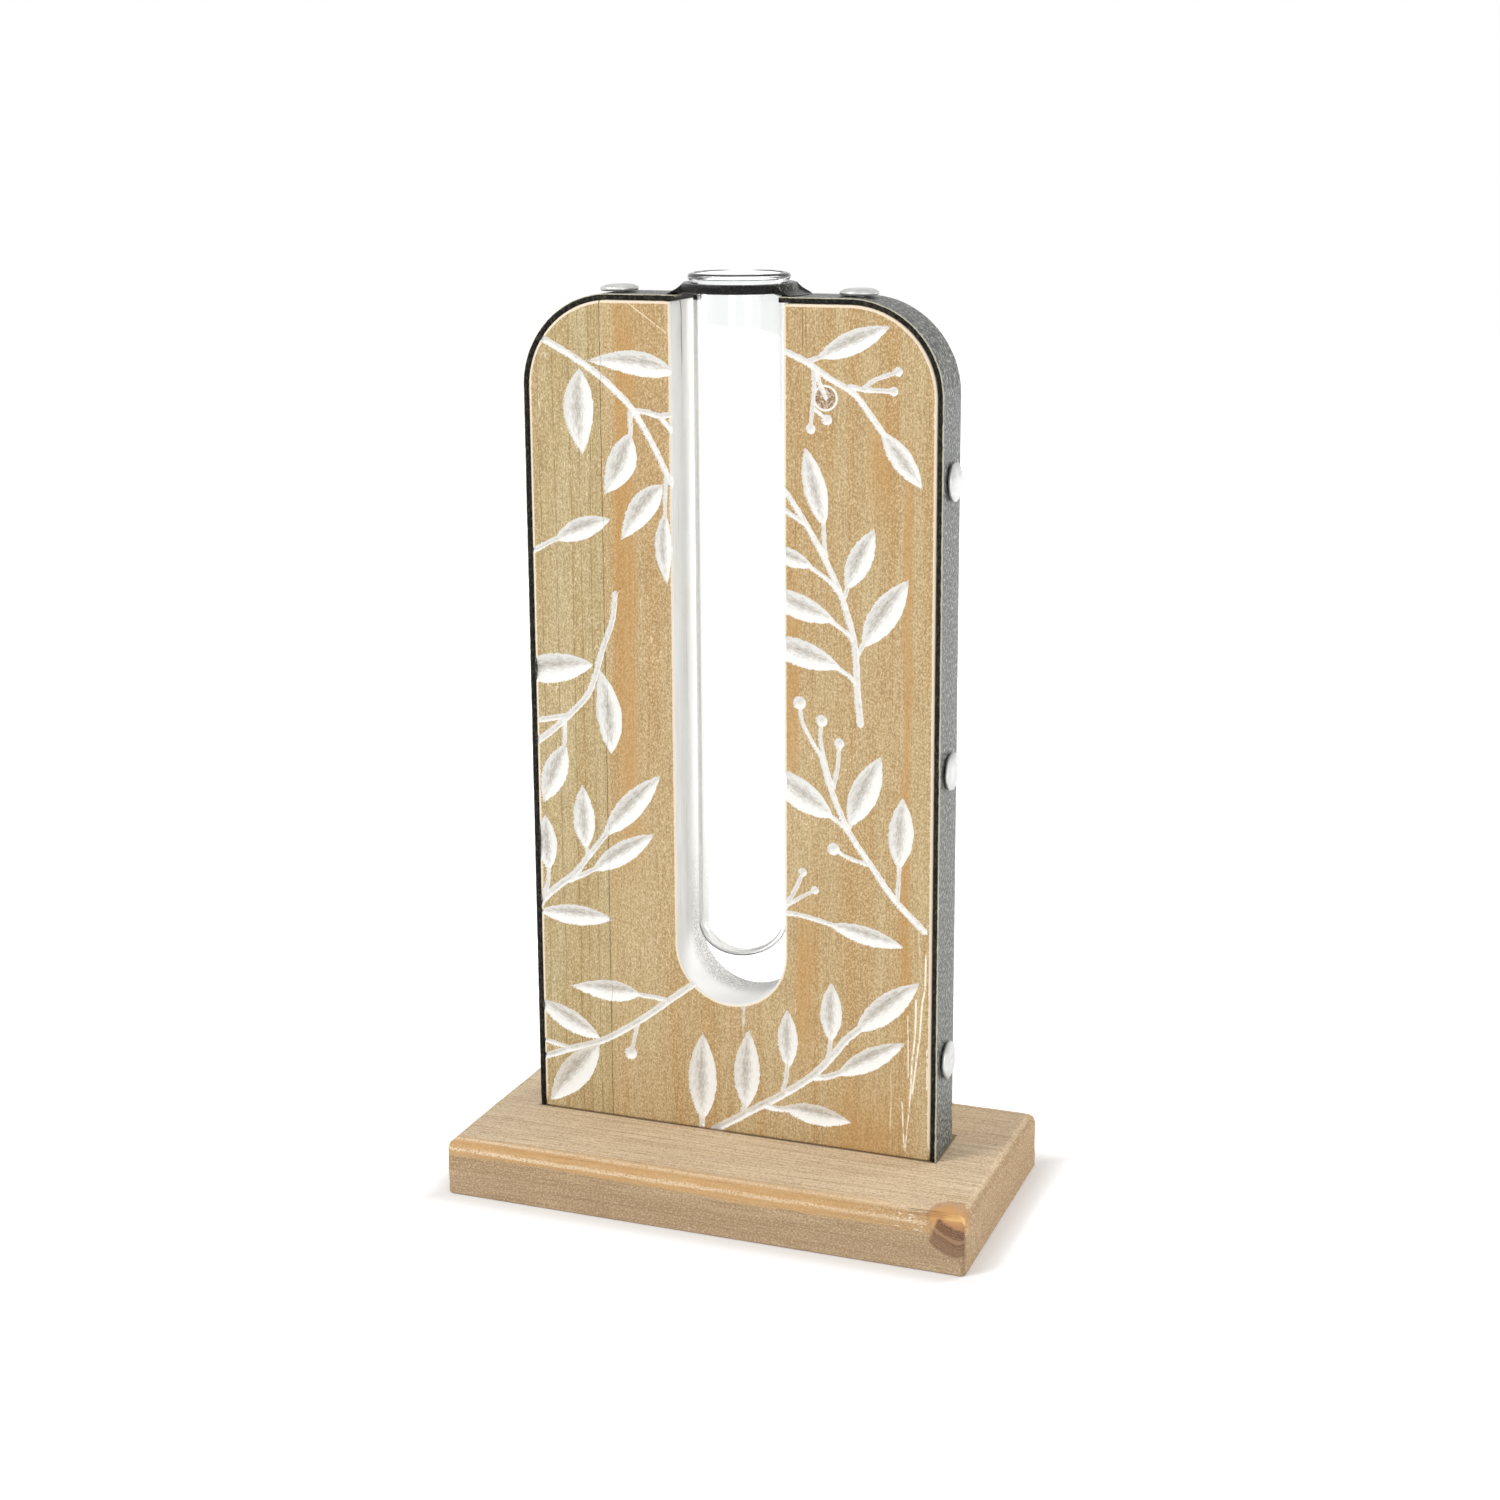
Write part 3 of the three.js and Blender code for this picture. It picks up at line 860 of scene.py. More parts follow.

# %% [markdown]
# Each point now asks every shape near it how deep it is. Where a stem runs into a leaf the deeper cut wins,
# as it would under a real gouge. The same pass keeps three measures for the paint: how far inside a cut
# the point is, its place along and across its leaf, and how near the middle of the cut it lies, which sets
# a grey that is partly painted shade.

# %% Sink the points
knot_place = np.array([27.8, 226.5 - foot_top])
knot_radius = 3.3
knot_ring_depth = 0.25
knot_ring_width = 0.4
seam_depth = 0.16
cut = np.full(len(face_points), -1.0)
depth = np.zeros(len(face_points))
leaf_place = np.zeros((len(face_points), 3))
for shape in shapes:
    near = np.flatnonzero(np.linalg.norm(face_points - shape.middle, axis=1) < shape.reach + 1)
    inside, deep, along, across, core = shape.read(face_points[near])
    deeper = deep > depth[near]
    leaf_place[near[deeper]] = np.column_stack([along, across, core])[deeper]
    depth[near] = np.maximum(depth[near], deep)
    cut[near] = np.maximum(cut[near], np.clip(inside, -1, 2))
knot_away = np.linalg.norm(face_points - knot_place, axis=1)
knot_ring = np.exp(-((knot_away - knot_radius) / knot_ring_width) ** 2)
depth = np.maximum(depth, knot_ring_depth * knot_ring)
depth = np.maximum(depth, np.where(np.abs(face_points[:, 0] - seam_u) < 1e-3, seam_depth, 0))
print("deepest cut", round(depth.max(), 2), "mm")

# %% [markdown]
# ## Pine, white paint and whitewash
#
# The board's pine is sanded smooth and stained a warm tan. Its grain runs upwards, so the noise that stands
# for it is squeezed across the grain and drawn out along it. The narrow stave comes from another plank:
# it is greener and its growth lines are closer and darker. The paint sits in the cuts and was rubbed while
# wet, which left it thin and grey along the midribs; part of that grey, and a dark line round each cut, is
# painted shade. One material holds all of this, and the measures on the mesh say where the wood ends and
# the paint begins.

# %% Pine
PINE_SANDED = (230, 210, 171)
PINE_FLECK = (240, 226, 196)


def pine(name, pale, middle, warm, line):
    """Stained pine with an upright grain, from broad bands down to single pores."""
    wood = Finish(name)
    wood.x, wood.y, wood.z = wood.axes(wood.place())
    broad = wood.grain((0.16, 0.16, 0.006), 4, 0.55, 0.6)
    wood.colour = wood.ramp(broad, (0.38, warm), (0.5, middle), (0.62, pale))
    wood.fibres = wood.grain((3.0, 3.0, 0.07), 4, 0.6)
    wood.stain(wood.fibres, 0.47, 0.62, 0.42, line)
    wood.stain(wood.fibres, 0.46, 0.34, 0.36, pale)
    sanding = wood.grain((2.2, 2.2, 1.4), 3, 0.75)
    wood.stain(sanding, 0.5, 0.62, 0.62, PINE_SANDED)
    wood.stain(sanding, 0.49, 0.37, 0.62, line)
    fleck = wood.band(wood.grain((1.9, 1.9, 0.55), 2, 0.6, 0.8), 0.63, 0.68)
    where = wood.band(wood.grain((0.035, 0.035, 0.02), 2), 0.5, 0.62, 0, 0.7)
    wood.over(wood.times(fleck, where), PINE_FLECK)
    return wood


wide = pine("pine_main_stave", (203, 179, 135), (196, 168, 121), (191, 155, 102), (152, 121, 80))
narrow = pine("pine_left_stave", (201, 184, 141), (193, 172, 126), (187, 161, 111), (150, 124, 84))
print("pine with", len(wide.tree.nodes), "nodes on each stave")

# %% [markdown]
# A mark on wood follows the grain or cuts across it. The first kind is a streak between two heights that
# sways a little and breaks up. The second is a scratch from one place to another. A scratch lies in the
# surface, so it must not go through the board and show on its back.

# %% Streaks and scratches
def near_face(wood):
    """One near the carved face and nought deeper in the board."""
    return wood.band(wood.y, face_y + 2.5, face_y + 1.5)


def streak(wood, across, width, z_low, z_high, colour, strength, sway=0.6, fade=6.0, gaps=0.5):
    """A mark along the grain, at one place across the face and between two heights."""
    shaken = wood.band(wood.grain((0.04, 0.04, 0.022), 2), 0.2, 0.8, -sway, sway)
    mark = wood.line(wood.plus(wood.x, shaken), board_mid_x + across, width * 0.3, width, strength)
    upper = wood.band(wood.z, z_high + fade, z_high - fade)
    lower = wood.band(wood.z, z_low - fade, z_low + fade)
    broken = wood.band(wood.grain((1.5, 1.5, 0.16), 3, 0.6), gaps - 0.1, gaps + 0.06)
    wood.over(wood.times(mark, upper, lower, broken), colour)


def scratch(wood, start, end, width, colour, strength):
    """A straight mark between two places on the face, each across from the middle and up from the table."""
    length = math.dist(start, end)
    run, rise = (end[0] - start[0]) / length, (end[1] - start[1]) / length
    from_x = wood.minus(wood.x, board_mid_x + start[0])
    from_z = wood.minus(wood.z, start[1])
    along = wood.plus(wood.times(from_x, run), wood.times(from_z, rise))
    aside = wood.minus(wood.times(from_z, run), wood.times(from_x, rise))
    mark = wood.line(aside, 0, width * 0.4, width, strength)
    ends = wood.times(wood.band(along, -0.5, 0.5), wood.band(along, length + 0.5, length - 0.5))
    broken = wood.band(wood.grain((1.6, 1.6, 0.5), 2, 0.6), 0.36, 0.48, 0.3, 1)
    wood.over(wood.times(mark, ends, broken, near_face(wood)), colour)


print("the carved face lies at y", round(face_y, 2), "mm, and marks stay near it")

# %% [markdown]
# Single marks make a plank look like one plank and not like a pattern. The wide stave has warm bands
# beside the slot and on the right, pale drying marks low by its right edge, a scratch in its upper left
# corner and a knot among the berries. The narrow stave has five dark growth lines.

# %% Marks on the two staves
WARM_MARK = (196, 146, 80)
PALE_MARK = (244, 226, 192)
DARK_MARK = (134, 98, 60)
SEAM_DARK = (116, 88, 56)
DRYING_MARK = (255, 247, 226)
PAINT_WHITE = (247, 246, 242)

# Across, width, lower and upper end.
WARM_BANDS = [
    (-30, 4.5, 96, 250), (43, 5, 200, 222), (22, 4, 44, 84), (18.5, 3, 120, 175), (40, 14, 10, 30),
    (51, 2, 60, 210),
]
# Width, and the corners that each line runs through.
DRYING_LINES = [
    (0.36, [(56.9, 76), (56.7, 66), (55.9, 61.9), (55.4, 53.2), (54.1, 42.5), (53.3, 35.4)]),
    (0.4, [(54.2, 63), (54, 52.4), (53.2, 44.8), (52.7, 33.5)]),
    (0.26, [(52.7, 33.5), (51.6, 21), (51.4, 18.2)]),
    (0.3, [(50.4, 32.7), (51.1, 19.2)]),
    (0.22, [(51.9, 58), (52.1, 40)]),
    (0.22, [(57.4, 49), (57.5, 37)]),
]

for warm_band in WARM_BANDS:
    streak(wide, *warm_band, WARM_MARK, 0.5, 1.0, 14, 0.3)
for width, corners in DRYING_LINES:
    for start, end in zip(corners, corners[1:]):
        scratch(wide, start, end, width, DRYING_MARK, 1.0)
for across, z_low, z_high in [(58, 74, 100), (54.9, 70, 84), (47.2, 17, 40)]:
    streak(wide, across, 0.24, z_low, z_high, PALE_MARK, 0.8, 0.7)
for across, z_low, z_high in [(21.6, 238, 250), (22.5, 240, 250)]:
    streak(wide, across, 0.22, z_low, z_high, DARK_MARK, 0.75, 0.2, 3, 0.4)
scratch(wide, (-28.6, 250.4), (-16, 241.6), 0.22, PALE_MARK, 0.9)
scratch(wide, (3.2, 56), (3.7, 46), 0.3, PALE_MARK, 0.7)

knot_far = wide.distance((wide.x, wide.z), knot_place + (board_mid_x, foot_top))
knot_stops = [(0.38, (92, 68, 46)), (0.5, (170, 140, 106)), (0.6, (226, 216, 202))]
wide.stain(knot_far, 3.0, 2.7, 0.9, wide.ramp(wide.grain(0.7, 4, 0.7, 1.5), *knot_stops))
knot_rim = wide.line(knot_far, 3.2, 0.2, 0.42, 0.9)
wide.over(wide.times(knot_rim, near_face(wide)), PAINT_WHITE)
for across, width in [(-40.3, 0.22), (-43.4, 0.2), (-46.1, 0.28), (-51, 0.25), (-55.8, 0.22)]:
    streak(narrow, across, width, 10, 260, DARK_MARK, 0.55, 0.5, 6, 0.46)
for stave_pine in (wide, narrow):
    streak(stave_pine, seam_u, 0.18, 10, 260, SEAM_DARK, 0.7, 0.0, 6, 0.46)
print("marks:", len(WARM_BANDS), "warm bands and", len(DRYING_LINES), "drying lines")

# %% [markdown]
# Last comes the white paint. It covers what lies inside a cut and ends in a slightly ragged edge. Towards the
# midrib it was rubbed thin in strokes along the leaf, down to bare wood in the middle; that grey is partly
# painted shade, and in the stems and berries it is painted shade only. A darker line just round the rim of
# each cut is painted shade as well. The sanded arris round the board is paler than the face.

# %% White paint in the cuts
# The grey of thin paint, which also stands in for shade in the cuts, and the dark line at the rim, which is
# painted shade.
PAINT_THIN_AND_SHADE = (168, 159, 142)
PAINT_BARE = (134, 120, 100)
PAINT_GRIT = (212, 204, 190)
PAINT_RIM_SHADE = (176, 156, 128)
ARRIS_PALE = (248, 232, 208)


def paint_cuts(wood):
    """White paint inside the cuts, over a wood that has all its marks."""
    ragged = wood.grain(2.4, 3, 0.6)
    grit = wood.grain(2.6, 3, 0.75)
    edge = wood.plus(wood.measure("cut"), wood.band(ragged, 0.2, 0.8, -0.22, 0.2))
    along, across, middle = wood.axes(wood.measure("leaf", "Vector"))
    brushed = wood.add("CombineXYZ", {0: wood.times(along, 0.3), 1: across})
    strokes = wood.noise(brushed, 1.7, 4, 0.7)
    core = wood.plus(middle, wood.band(strokes, 0.3, 0.7, -0.22, 0.22))
    arris = wood.plus(wood.measure("arris"), wood.band(ragged, 0.2, 0.8, -0.3, 0.2))
    wood.stain(arris, 0.2, 0.6, 0.9, ARRIS_PALE)

    unpainted = wood.colour
    # Grey where the paint is thin, and painted shade where the cut lies away from the light.
    thin_and_shade = wood.times(wood.band(core, 0.32, 1.02, 0, 0.68), wood.band(grit, 0.3, 0.55, 0.7, 1.0))
    wood.colour = wood.mix(thin_and_shade, PAINT_WHITE, PAINT_THIN_AND_SHADE)
    bare = wood.times(wood.band(core, 0.86, 1.18, 0, 0.65), wood.band(grit, 0.42, 0.56))
    wood.over(bare, PAINT_BARE)
    wood.stain(grit, 0.55, 0.72, 0.3, PAINT_GRIT)
    # A darker line round the rim of each cut: painted shade.
    wood.over(wood.line(edge, -0.02, 0.02, 0.1, 0.35), PAINT_RIM_SHADE)

    painted = wood.band(edge, -0.03, 0.05)
    wood.set(Base_Color=wood.mix(painted, unpainted, wood.colour), Specular_IOR_Level=0.3)
    wood.set(Roughness=wood.band(painted, 0, 1, 0.62, 0.8))
    wood.relief(wood.plus(wood.times(wood.fibres, 0.5), wood.times(grit, 0.6)), 0.14, 0.6)


for stave_pine in (wide, narrow):
    paint_cuts(stave_pine)
print("painted pine with", len(wide.tree.nodes), "and", len(narrow.tree.nodes), "nodes")

# %% [markdown]
# The inside of the slot is whitewashed: thin paint over bare wood, so the grain still shows as faint grey
# streaks that run with the slot. A shake in the wood shows as a short dark line near its upper left end.

# %% Whitewash
shake_behind_face = 7.6
shake_from_z = 226
slot_bottom_z = foot_top + slot_floor


def whitewash():
    paint = Finish("slot_whitewash")
    x, y, z = paint.axes(paint.place())
    streaks = paint.grain((0.9, 0.9, 0.03), 5, 0.65)
    stops = [(0.3, (236, 230, 221)), (0.46, (250, 248, 243)), (0.7, (253, 252, 249))]
    paint.colour = paint.ramp(streaks, *stops)
    paint.stain(paint.grain((0.12, 0.12, 0.04), 3, 0.6), 0.52, 0.75, 0.35, (236, 228, 218))
    # Greyer towards the bottom of the slot: painted shade for the lower end, which the slot lamp would light
    # too brightly.
    paint.stain(z, slot_bottom_z + 30, slot_bottom_z + 4, 0.75, (226, 226, 225))

    specks = paint.band(paint.grain(1.8, 3, 0.8), 0.44, 0.56, 0.12, 0.85)
    near_back = paint.band(y, board_high[1] - 12, board_high[1] - 6)
    low_left = paint.times(paint.band(z, 110, 70), paint.band(x, board_mid_x + 8, board_mid_x - 4))
    paint.over(paint.times(specks, near_back, low_left), (164, 160, 154))

    bent = paint.plus(y, paint.band(paint.grain((0.1, 0.1, 0.08), 2), 0.3, 0.7, -0.4, 0.4))
    shake = paint.line(bent, face_y + shake_behind_face, 0.16, 0.32)
    high = paint.band(z, shake_from_z, shake_from_z + 18)
    left = paint.band(x, board_mid_x + 1, board_mid_x - 1)
    paint.over(paint.times(shake, high, left), (48, 44, 40))
    paint.set(Base_Color=paint.colour, Roughness=0.75, Specular_IOR_Level=0.25)
    paint.relief(streaks, 0.15, 0.5)
    return paint


slot_paint = whitewash()
print("whitewash with", len(slot_paint.tree.nodes), "nodes, slot from", round(slot_bottom_z, 2), "mm up")

# %% [markdown]
# ## From a carved face to a whole board
#
# The face is only a skin so far. Its border is walked round once, and from each border point the surface is
# carried outwards over the sanded arris, straight back through the thickness, and in again round the back
# arris. A single flat face closes the back. Where the two staves meet there is no arris, only a hairline.

# %% Walking round a border and joining rows of points
def border_of(triangles):
    """The border of a triangulated patch as one closed run of points, counter-clockwise."""
    sides = {(int(a), int(b)) for t in triangles for a, b in zip(t, np.roll(t, -1))}
    following = {a: b for a, b in sides if (b, a) not in sides}
    start = next(iter(following))
    run = [start]
    while following[run[-1]] != start:
        run.append(following[run[-1]])
    return np.array(run)


def strip_faces(first, rows, around):
    """Faces between closed rows of points that follow one another from the first point on."""
    faces = []
    for row in range(rows - 1):
        for i in range(around):
            here, beside = first + row * around + i, first + row * around + (i + 1) % around
            faces.append((here, beside, beside + around, here + around))
    return faces


print("the whole face has a border of", len(border_of(face_triangles)), "points")

# %% [markdown]
# The walls of the slot get the whitewash, and all other sides stay pine. The points carry their measures
# with them: the front arris is worn pale, the back arris less so, and near the foot there is no wear, since
# no hand or cloth gets there.

# %% Close each stave
arris_steps = 3
arris_turns = [math.pi / 2 * (i + 1) / arris_steps for i in range(arris_steps)]
seam_gap = 0.05
slot_margin = 1.2
worn_at_front_edge, worn_at_back = 0.9, 0.25
wear_starts_at, wear_grows_over = 1.5, 6


def make_stave(name, node, finish, side):
    kept = face_triangles[(face_points[face_triangles].mean(1)[:, 0] > seam_u) == (side > 0)]
    used, numbered = np.unique(kept, return_inverse=True)
    kept = numbered.reshape(-1, 3)
    flat = face_points[used]
    run = border_of(kept)
    line = flat[run]
    on_seam = np.abs(line[:, 0] - seam_u) < 1e-3
    step = np.roll(line, -1, axis=0) - line
    outward = np.column_stack([step[:, 1], -step[:, 0]]) / np.linalg.norm(step, axis=1)[:, None]
    outward[on_seam & np.roll(on_seam, -1)] = 0
    normal = outward + np.roll(outward, 1, axis=0)
    size = np.linalg.norm(normal, axis=1)[:, None]
    normal = np.where(size > 1e-6, normal / np.maximum(size, 1e-6), 0)
    flat[np.abs(flat[:, 0] - seam_u) < 1e-3, 0] = seam_u + side * seam_gap
    line = flat[run]
    sink = depth[used]

    rings = [(arris_radius * math.sin(a), arris_radius * (1 - math.cos(a))) for a in arris_turns]
    back = [(out, board_thickness - down) for out, down in reversed(rings)] + [(0, board_thickness)]
    points = [np.column_stack([flat[:, 0], sink, flat[:, 1]])]
    for number, (out, down) in enumerate(rings + back):
        ring = line + normal * out
        front = number < len(rings)
        level = np.maximum(sink[run], down) if front else np.full(len(run), down)
        points.append(np.column_stack([ring[:, 0], level, ring[:, 1]]))
    points = np.vstack(points)

    around, levels, skin = len(run), len(rings) + len(back), len(flat)
    faces = [tuple(t) for t in kept.tolist()]
    ahead = np.roll(run, -1)
    faces += [(a, skin + i, skin + (i + 1) % around, b) for i, (a, b) in enumerate(zip(run, ahead))]
    faces += [face[:1] + face[:0:-1] for face in strip_faces(skin, levels, around)]
    faces.append(tuple(range(len(points) - 1, len(points) - 1 - around, -1)))
    in_slot = (np.abs(line[:, 0]) < slot_half + slot_margin) & (line[:, 1] > slot_floor - slot_margin)
    whitewashed = (in_slot & np.roll(in_slot, -1)).astype(int).tolist()
    face_finish = [0] * (len(kept) + around) + whitewashed * (levels - 1) + [0]

    edge = np.concatenate([np.zeros(skin), np.ones(len(points) - skin)])
    edge[run] = np.where(on_seam, 0.0, worn_at_front_edge)
    edge[skin:][np.tile(on_seam, levels)] = 0
    edge[skin + len(rings) * around:] = worn_at_back
    edge *= np.clip((points[:, 2] - wear_starts_at) / wear_grows_over, 0, 1) ** 0.5
    plain = len(back) * around
    cuts = np.concatenate([cut[used], np.tile(cut[used][run], len(rings)), np.full(plain, -1.0)])
    places = [leaf_place[used], np.tile(leaf_place[used][run], (len(rings), 1)), np.zeros((plain, 3))]
    measures = {"cut": cuts, "leaf": np.vstack(places), "arris": edge}
    points += np.array([board_mid_x, face_y, foot_top])
    finishes = [finish, slot_paint]
    return make_piece(name, points, faces, "holder", [node], "board_wood", finishes, 36, face_finish,
                      measures)


make_stave("carved_main_stave", "plaque_main_stave", wide, 1)
make_stave("carved_left_stave", "plaque_left_stave", narrow, -1)

# %% [markdown]
# ## The black steel strap
#
# A strip of flat steel is bent round the edge of the board in two halves. Its front edge was hammered,
# so it is uneven and catches light in small facets, and the paint has worn through along the outer corner.
# A curve with a bevel would be too clean, so the strip is swept by hand: a small rounded section is placed
# every millimetre along the path, and seeded noise moves the front corners a little at each place.

# %% Strap path and section
strap_thickness = 1.5
strap_gap = strap_high[2] - board_high[2] - strap_thickness
strap_width = strap_high[1] - strap_low[1]
strap_end_u = slot_half - 1.2
strap_round = 0.35


def strap_path():
    """The middle line of one half, from the foot to the slot, with the way that faces out."""
    corner = (board_half - corner_radius, board_height - corner_radius)
    out = strap_gap + strap_thickness / 2
    line = np.vstack([
        stroke((board_half + out, 0), (board_half + out, corner[1]), 1.1)[:-1],
        arc(corner, corner_radius + out, 0, 90, 1.0)[:-1],
        stroke((corner[0], board_height + out), (strap_end_u, board_height + out), 1.0),
    ])
    ahead = np.gradient(line, axis=0)
    ahead /= np.linalg.norm(ahead, axis=1)[:, None]
    return line, np.column_stack([ahead[:, 1], -ahead[:, 0]])


def strap_section():
    """Offsets outwards and backwards round the strip, and how much of the hammering reaches each."""
    half_thick, width = strap_thickness / 2, strap_width
    section = []
    corners = [(1, 0, 270), (1, 1, 0), (-1, 1, 90), (-1, 0, 180)]
    for side, back, turn in corners:
        middle = (side * (half_thick - strap_round), strap_round + back * (width - 2 * strap_round))
        for step in range(4):
            angle = math.radians(turn + 30 * step)
            place = (middle[0] + strap_round * math.cos(angle), middle[1] + strap_round * math.sin(angle))
            section.append((*place, 1.0 - back))
        if side > 0 and not back:
            for share in (0.06, 0.15, 0.3, 0.6):
                section.append((half_thick, width * share, (1 - share) ** 3 * 0.5))
    return section


print("strap path of", len(strap_path()[0]), "steps with", len(strap_section()), "points round the section")

# %% [markdown]
# The hammer left wide shallow dents and finer ones between them, and both fade out over the width of the
# strip. Points on the outer front corner also get a measure of wear, which the paint reads.

# %% Sweep the strap
hammer_dent = 0.07
hammer_fine_dent = 0.04
strap_swell = 0.05
worn_corner_width = 0.36


def make_strap(name, node, side, finishes):
    line, out = strap_path()
    section = strap_section()
    points, wear = [], []
    for number, (here, way) in enumerate(zip(line, out)):
        for outward, backward, hammer in section:
            spot = Vector((number * 0.9, backward * 1.3 + side * 40, outward * 2))
            dent = hammer_dent * hammer * noise.noise(spot * 0.6)
            dent += hammer_fine_dent * hammer * noise.noise(spot * 1.9)
            swell = strap_swell * noise.noise(Vector((number * 0.08, backward * 0.2, side * 9)))
            u, v = here + way * (outward + dent + swell - strap_swell)
            y = max(backward + abs(dent), 0.0) if hammer else backward
            points.append((board_mid_x + side * u, strap_low[1] + y, foot_top + max(v, 0.0)))
            on_corner = outward > strap_thickness / 2 - 0.2 and 0.02 < backward < worn_corner_width
            wear.append(float(on_corner))
    across = len(section)
    faces = strip_faces(0, len(line), across)
    first, last = tuple(range(across)), tuple(range(len(points) - across, len(points)))
    faces = [face if side < 0 else face[::-1] for face in faces + [first[::-1], last]]
    on_edge = [int(section[i][2] == 1 and section[(i + 1) % across][2] == 1) for i in range(across)]
    face_finish = on_edge * (len(line) - 1) + [1, 1]
    measures = {"wear": wear}
    return make_piece(name, points, faces, "holder", [node], "black_steel", finishes, 45, face_finish,
                      measures)


print("dents of up to", round(hammer_dent + hammer_fine_dent, 2), "mm in a strip of", strap_thickness, "mm")

# %% [markdown]
# The steel is painted black with a soft sheen, so seen at a flat angle its side mirrors the white room and
# turns grey. That comes mostly from the shader itself; the pale patches in the strap's mottle are partly the
# paint's own unevenness and partly painted sheen, a stand-in for the broken reflection on a hammered side.
# The hammered edge is another matter: it is dull and nearly black, with a broken line of bare metal on its
# outer corner, so the edge gets a finish of its own.

# %% Black paint over steel
# Bare steel where the strap's paint is worn, and on the ring the colour of painted glints.
BARE_STEEL_AND_GLINT = (204, 199, 174)


def black_paint(name, dark, middle, light, sheen, reflection):
    paint = Finish(name)
    mottle = paint.grain((1.3, 1.3, 0.9), 4, 0.8)
    paint.colour = paint.ramp(mottle, (0.4, dark), (0.5, middle), (0.62, light))
    chips = paint.grain((1.4, 1.4, 0.5), 3, 0.7)
    # On the strap this is worn paint; on the ring's upper outer corner it is painted highlights.
    bare = paint.plus(paint.measure("wear"), paint.band(chips, 0.3, 0.7, -0.3, 0.2))
    paint.stain(bare, 0.5, 0.85, 0.9, BARE_STEEL_AND_GLINT)
    paint.set(Base_Color=paint.colour, Specular_IOR_Level=reflection)
    paint.set(Roughness=paint.band(mottle, 0.3, 0.75, sheen - 0.06, sheen + 0.16))
    paint.relief(paint.grain(1.6, 3, 0.7), 0.3, 0.75)
    return paint


# The strap's pale mottle is partly painted sheen, for the patchy reflection of the room on its side.
strap_paint = black_paint("strap_satin_black", (12, 14, 14), (62, 64, 63), (170, 171, 164), 0.42, 0.4)
edge_paint = black_paint("strap_hammered_edge", (6, 6, 6), (16, 15, 13), (66, 62, 50), 0.5, 0.14)
make_strap("hammered_strap_left", "strap_left", -1, [strap_paint, edge_paint])
make_strap("hammered_strap_right", "strap_right", 1, [strap_paint, edge_paint])


# %% [markdown]
# ## Turned pieces
#
# The ring, the tube, the nails and the screws are all turned about an axis. A lathe function takes a
# half-section as radius and height and carries it round. Where the profile meets the axis it closes with a
# single point, so that no sliver faces are left there.

# %% A lathe
def lathe(profile, sides, shape=None):
    """Points and faces of a profile of (radius, height) turned about the upright axis."""
    points, rows = [], []
    for number, (radius, height) in enumerate(profile):
        if radius < 1e-6:
            rows.append([len(points)])
            points.append((0, 0, height))
            continue
        rows.append(list(range(len(points), len(points) + sides)))
        for i in range(sides):
            angle = 2 * math.pi * i / sides
            r, h = shape(number, angle, radius, height) if shape else (radius, height)
            points.append((r * math.cos(angle), r * math.sin(angle), h))
    faces = []
    closed = len(rows[0]) > 1 and len(rows[-1]) > 1
    pairs = list(zip(rows, rows[1:])) + ([(rows[-1], rows[0])] if closed else [])
    for low, high in pairs:
        for i in range(sides):
            j = (i + 1) % sides
            corners = [low[i % len(low)], low[j % len(low)], high[j % len(high)], high[i % len(high)]]
            face = [c for k, c in enumerate(corners) if c != corners[k - 1]]
            faces.append(tuple(face))
    return np.array(points), faces


def bend(middle, radius, from_degrees, to_degrees, steps=5):
    """Points on a small arc of a profile."""
    angles = np.radians(np.linspace(from_degrees, to_degrees, steps + 1))
    return [(middle[0] + radius * math.cos(a), middle[1] + radius * math.sin(a)) for a in angles]


print("a cone on the lathe:", len(lathe([(0, 0), (1, 0), (0, 1)], 8)[1]), "faces")

# %% [markdown]
# ## The ring and its slopes
#
# The ring is a thick steel washer that stands just proud of the strap. On both sides, where it passes over
# the strap ends, it spreads out in a hollow slope of weld that has been filed smooth. A profile that changes
# with the angle makes both in one piece: round the open slot the section is a plain rounded bar, and over the
# strap its outer corner is drawn out and down.

# %% Ring
ring_bore = 13.0
ring_radius = 16.0
ring_thickness = 2.5
ring_sides = 144
slope_reach = 3.6
slope_front_angle = math.degrees(math.asin((tube_y - strap_low[1]) / (ring_radius + slope_reach)))
slope_back_angle = math.degrees(math.asin((strap_high[1] - tube_y) / (ring_radius + slope_reach)))
slope_blend = 4
slope_hollow = 1.9
crease_at, crease_width, crease_depth = 0.3, 0.14, 0.3
toe_z = ring_low[2] - 0.15
inner_low_round, edge_round, outer_high_round = 0.5, 0.6, 0.9


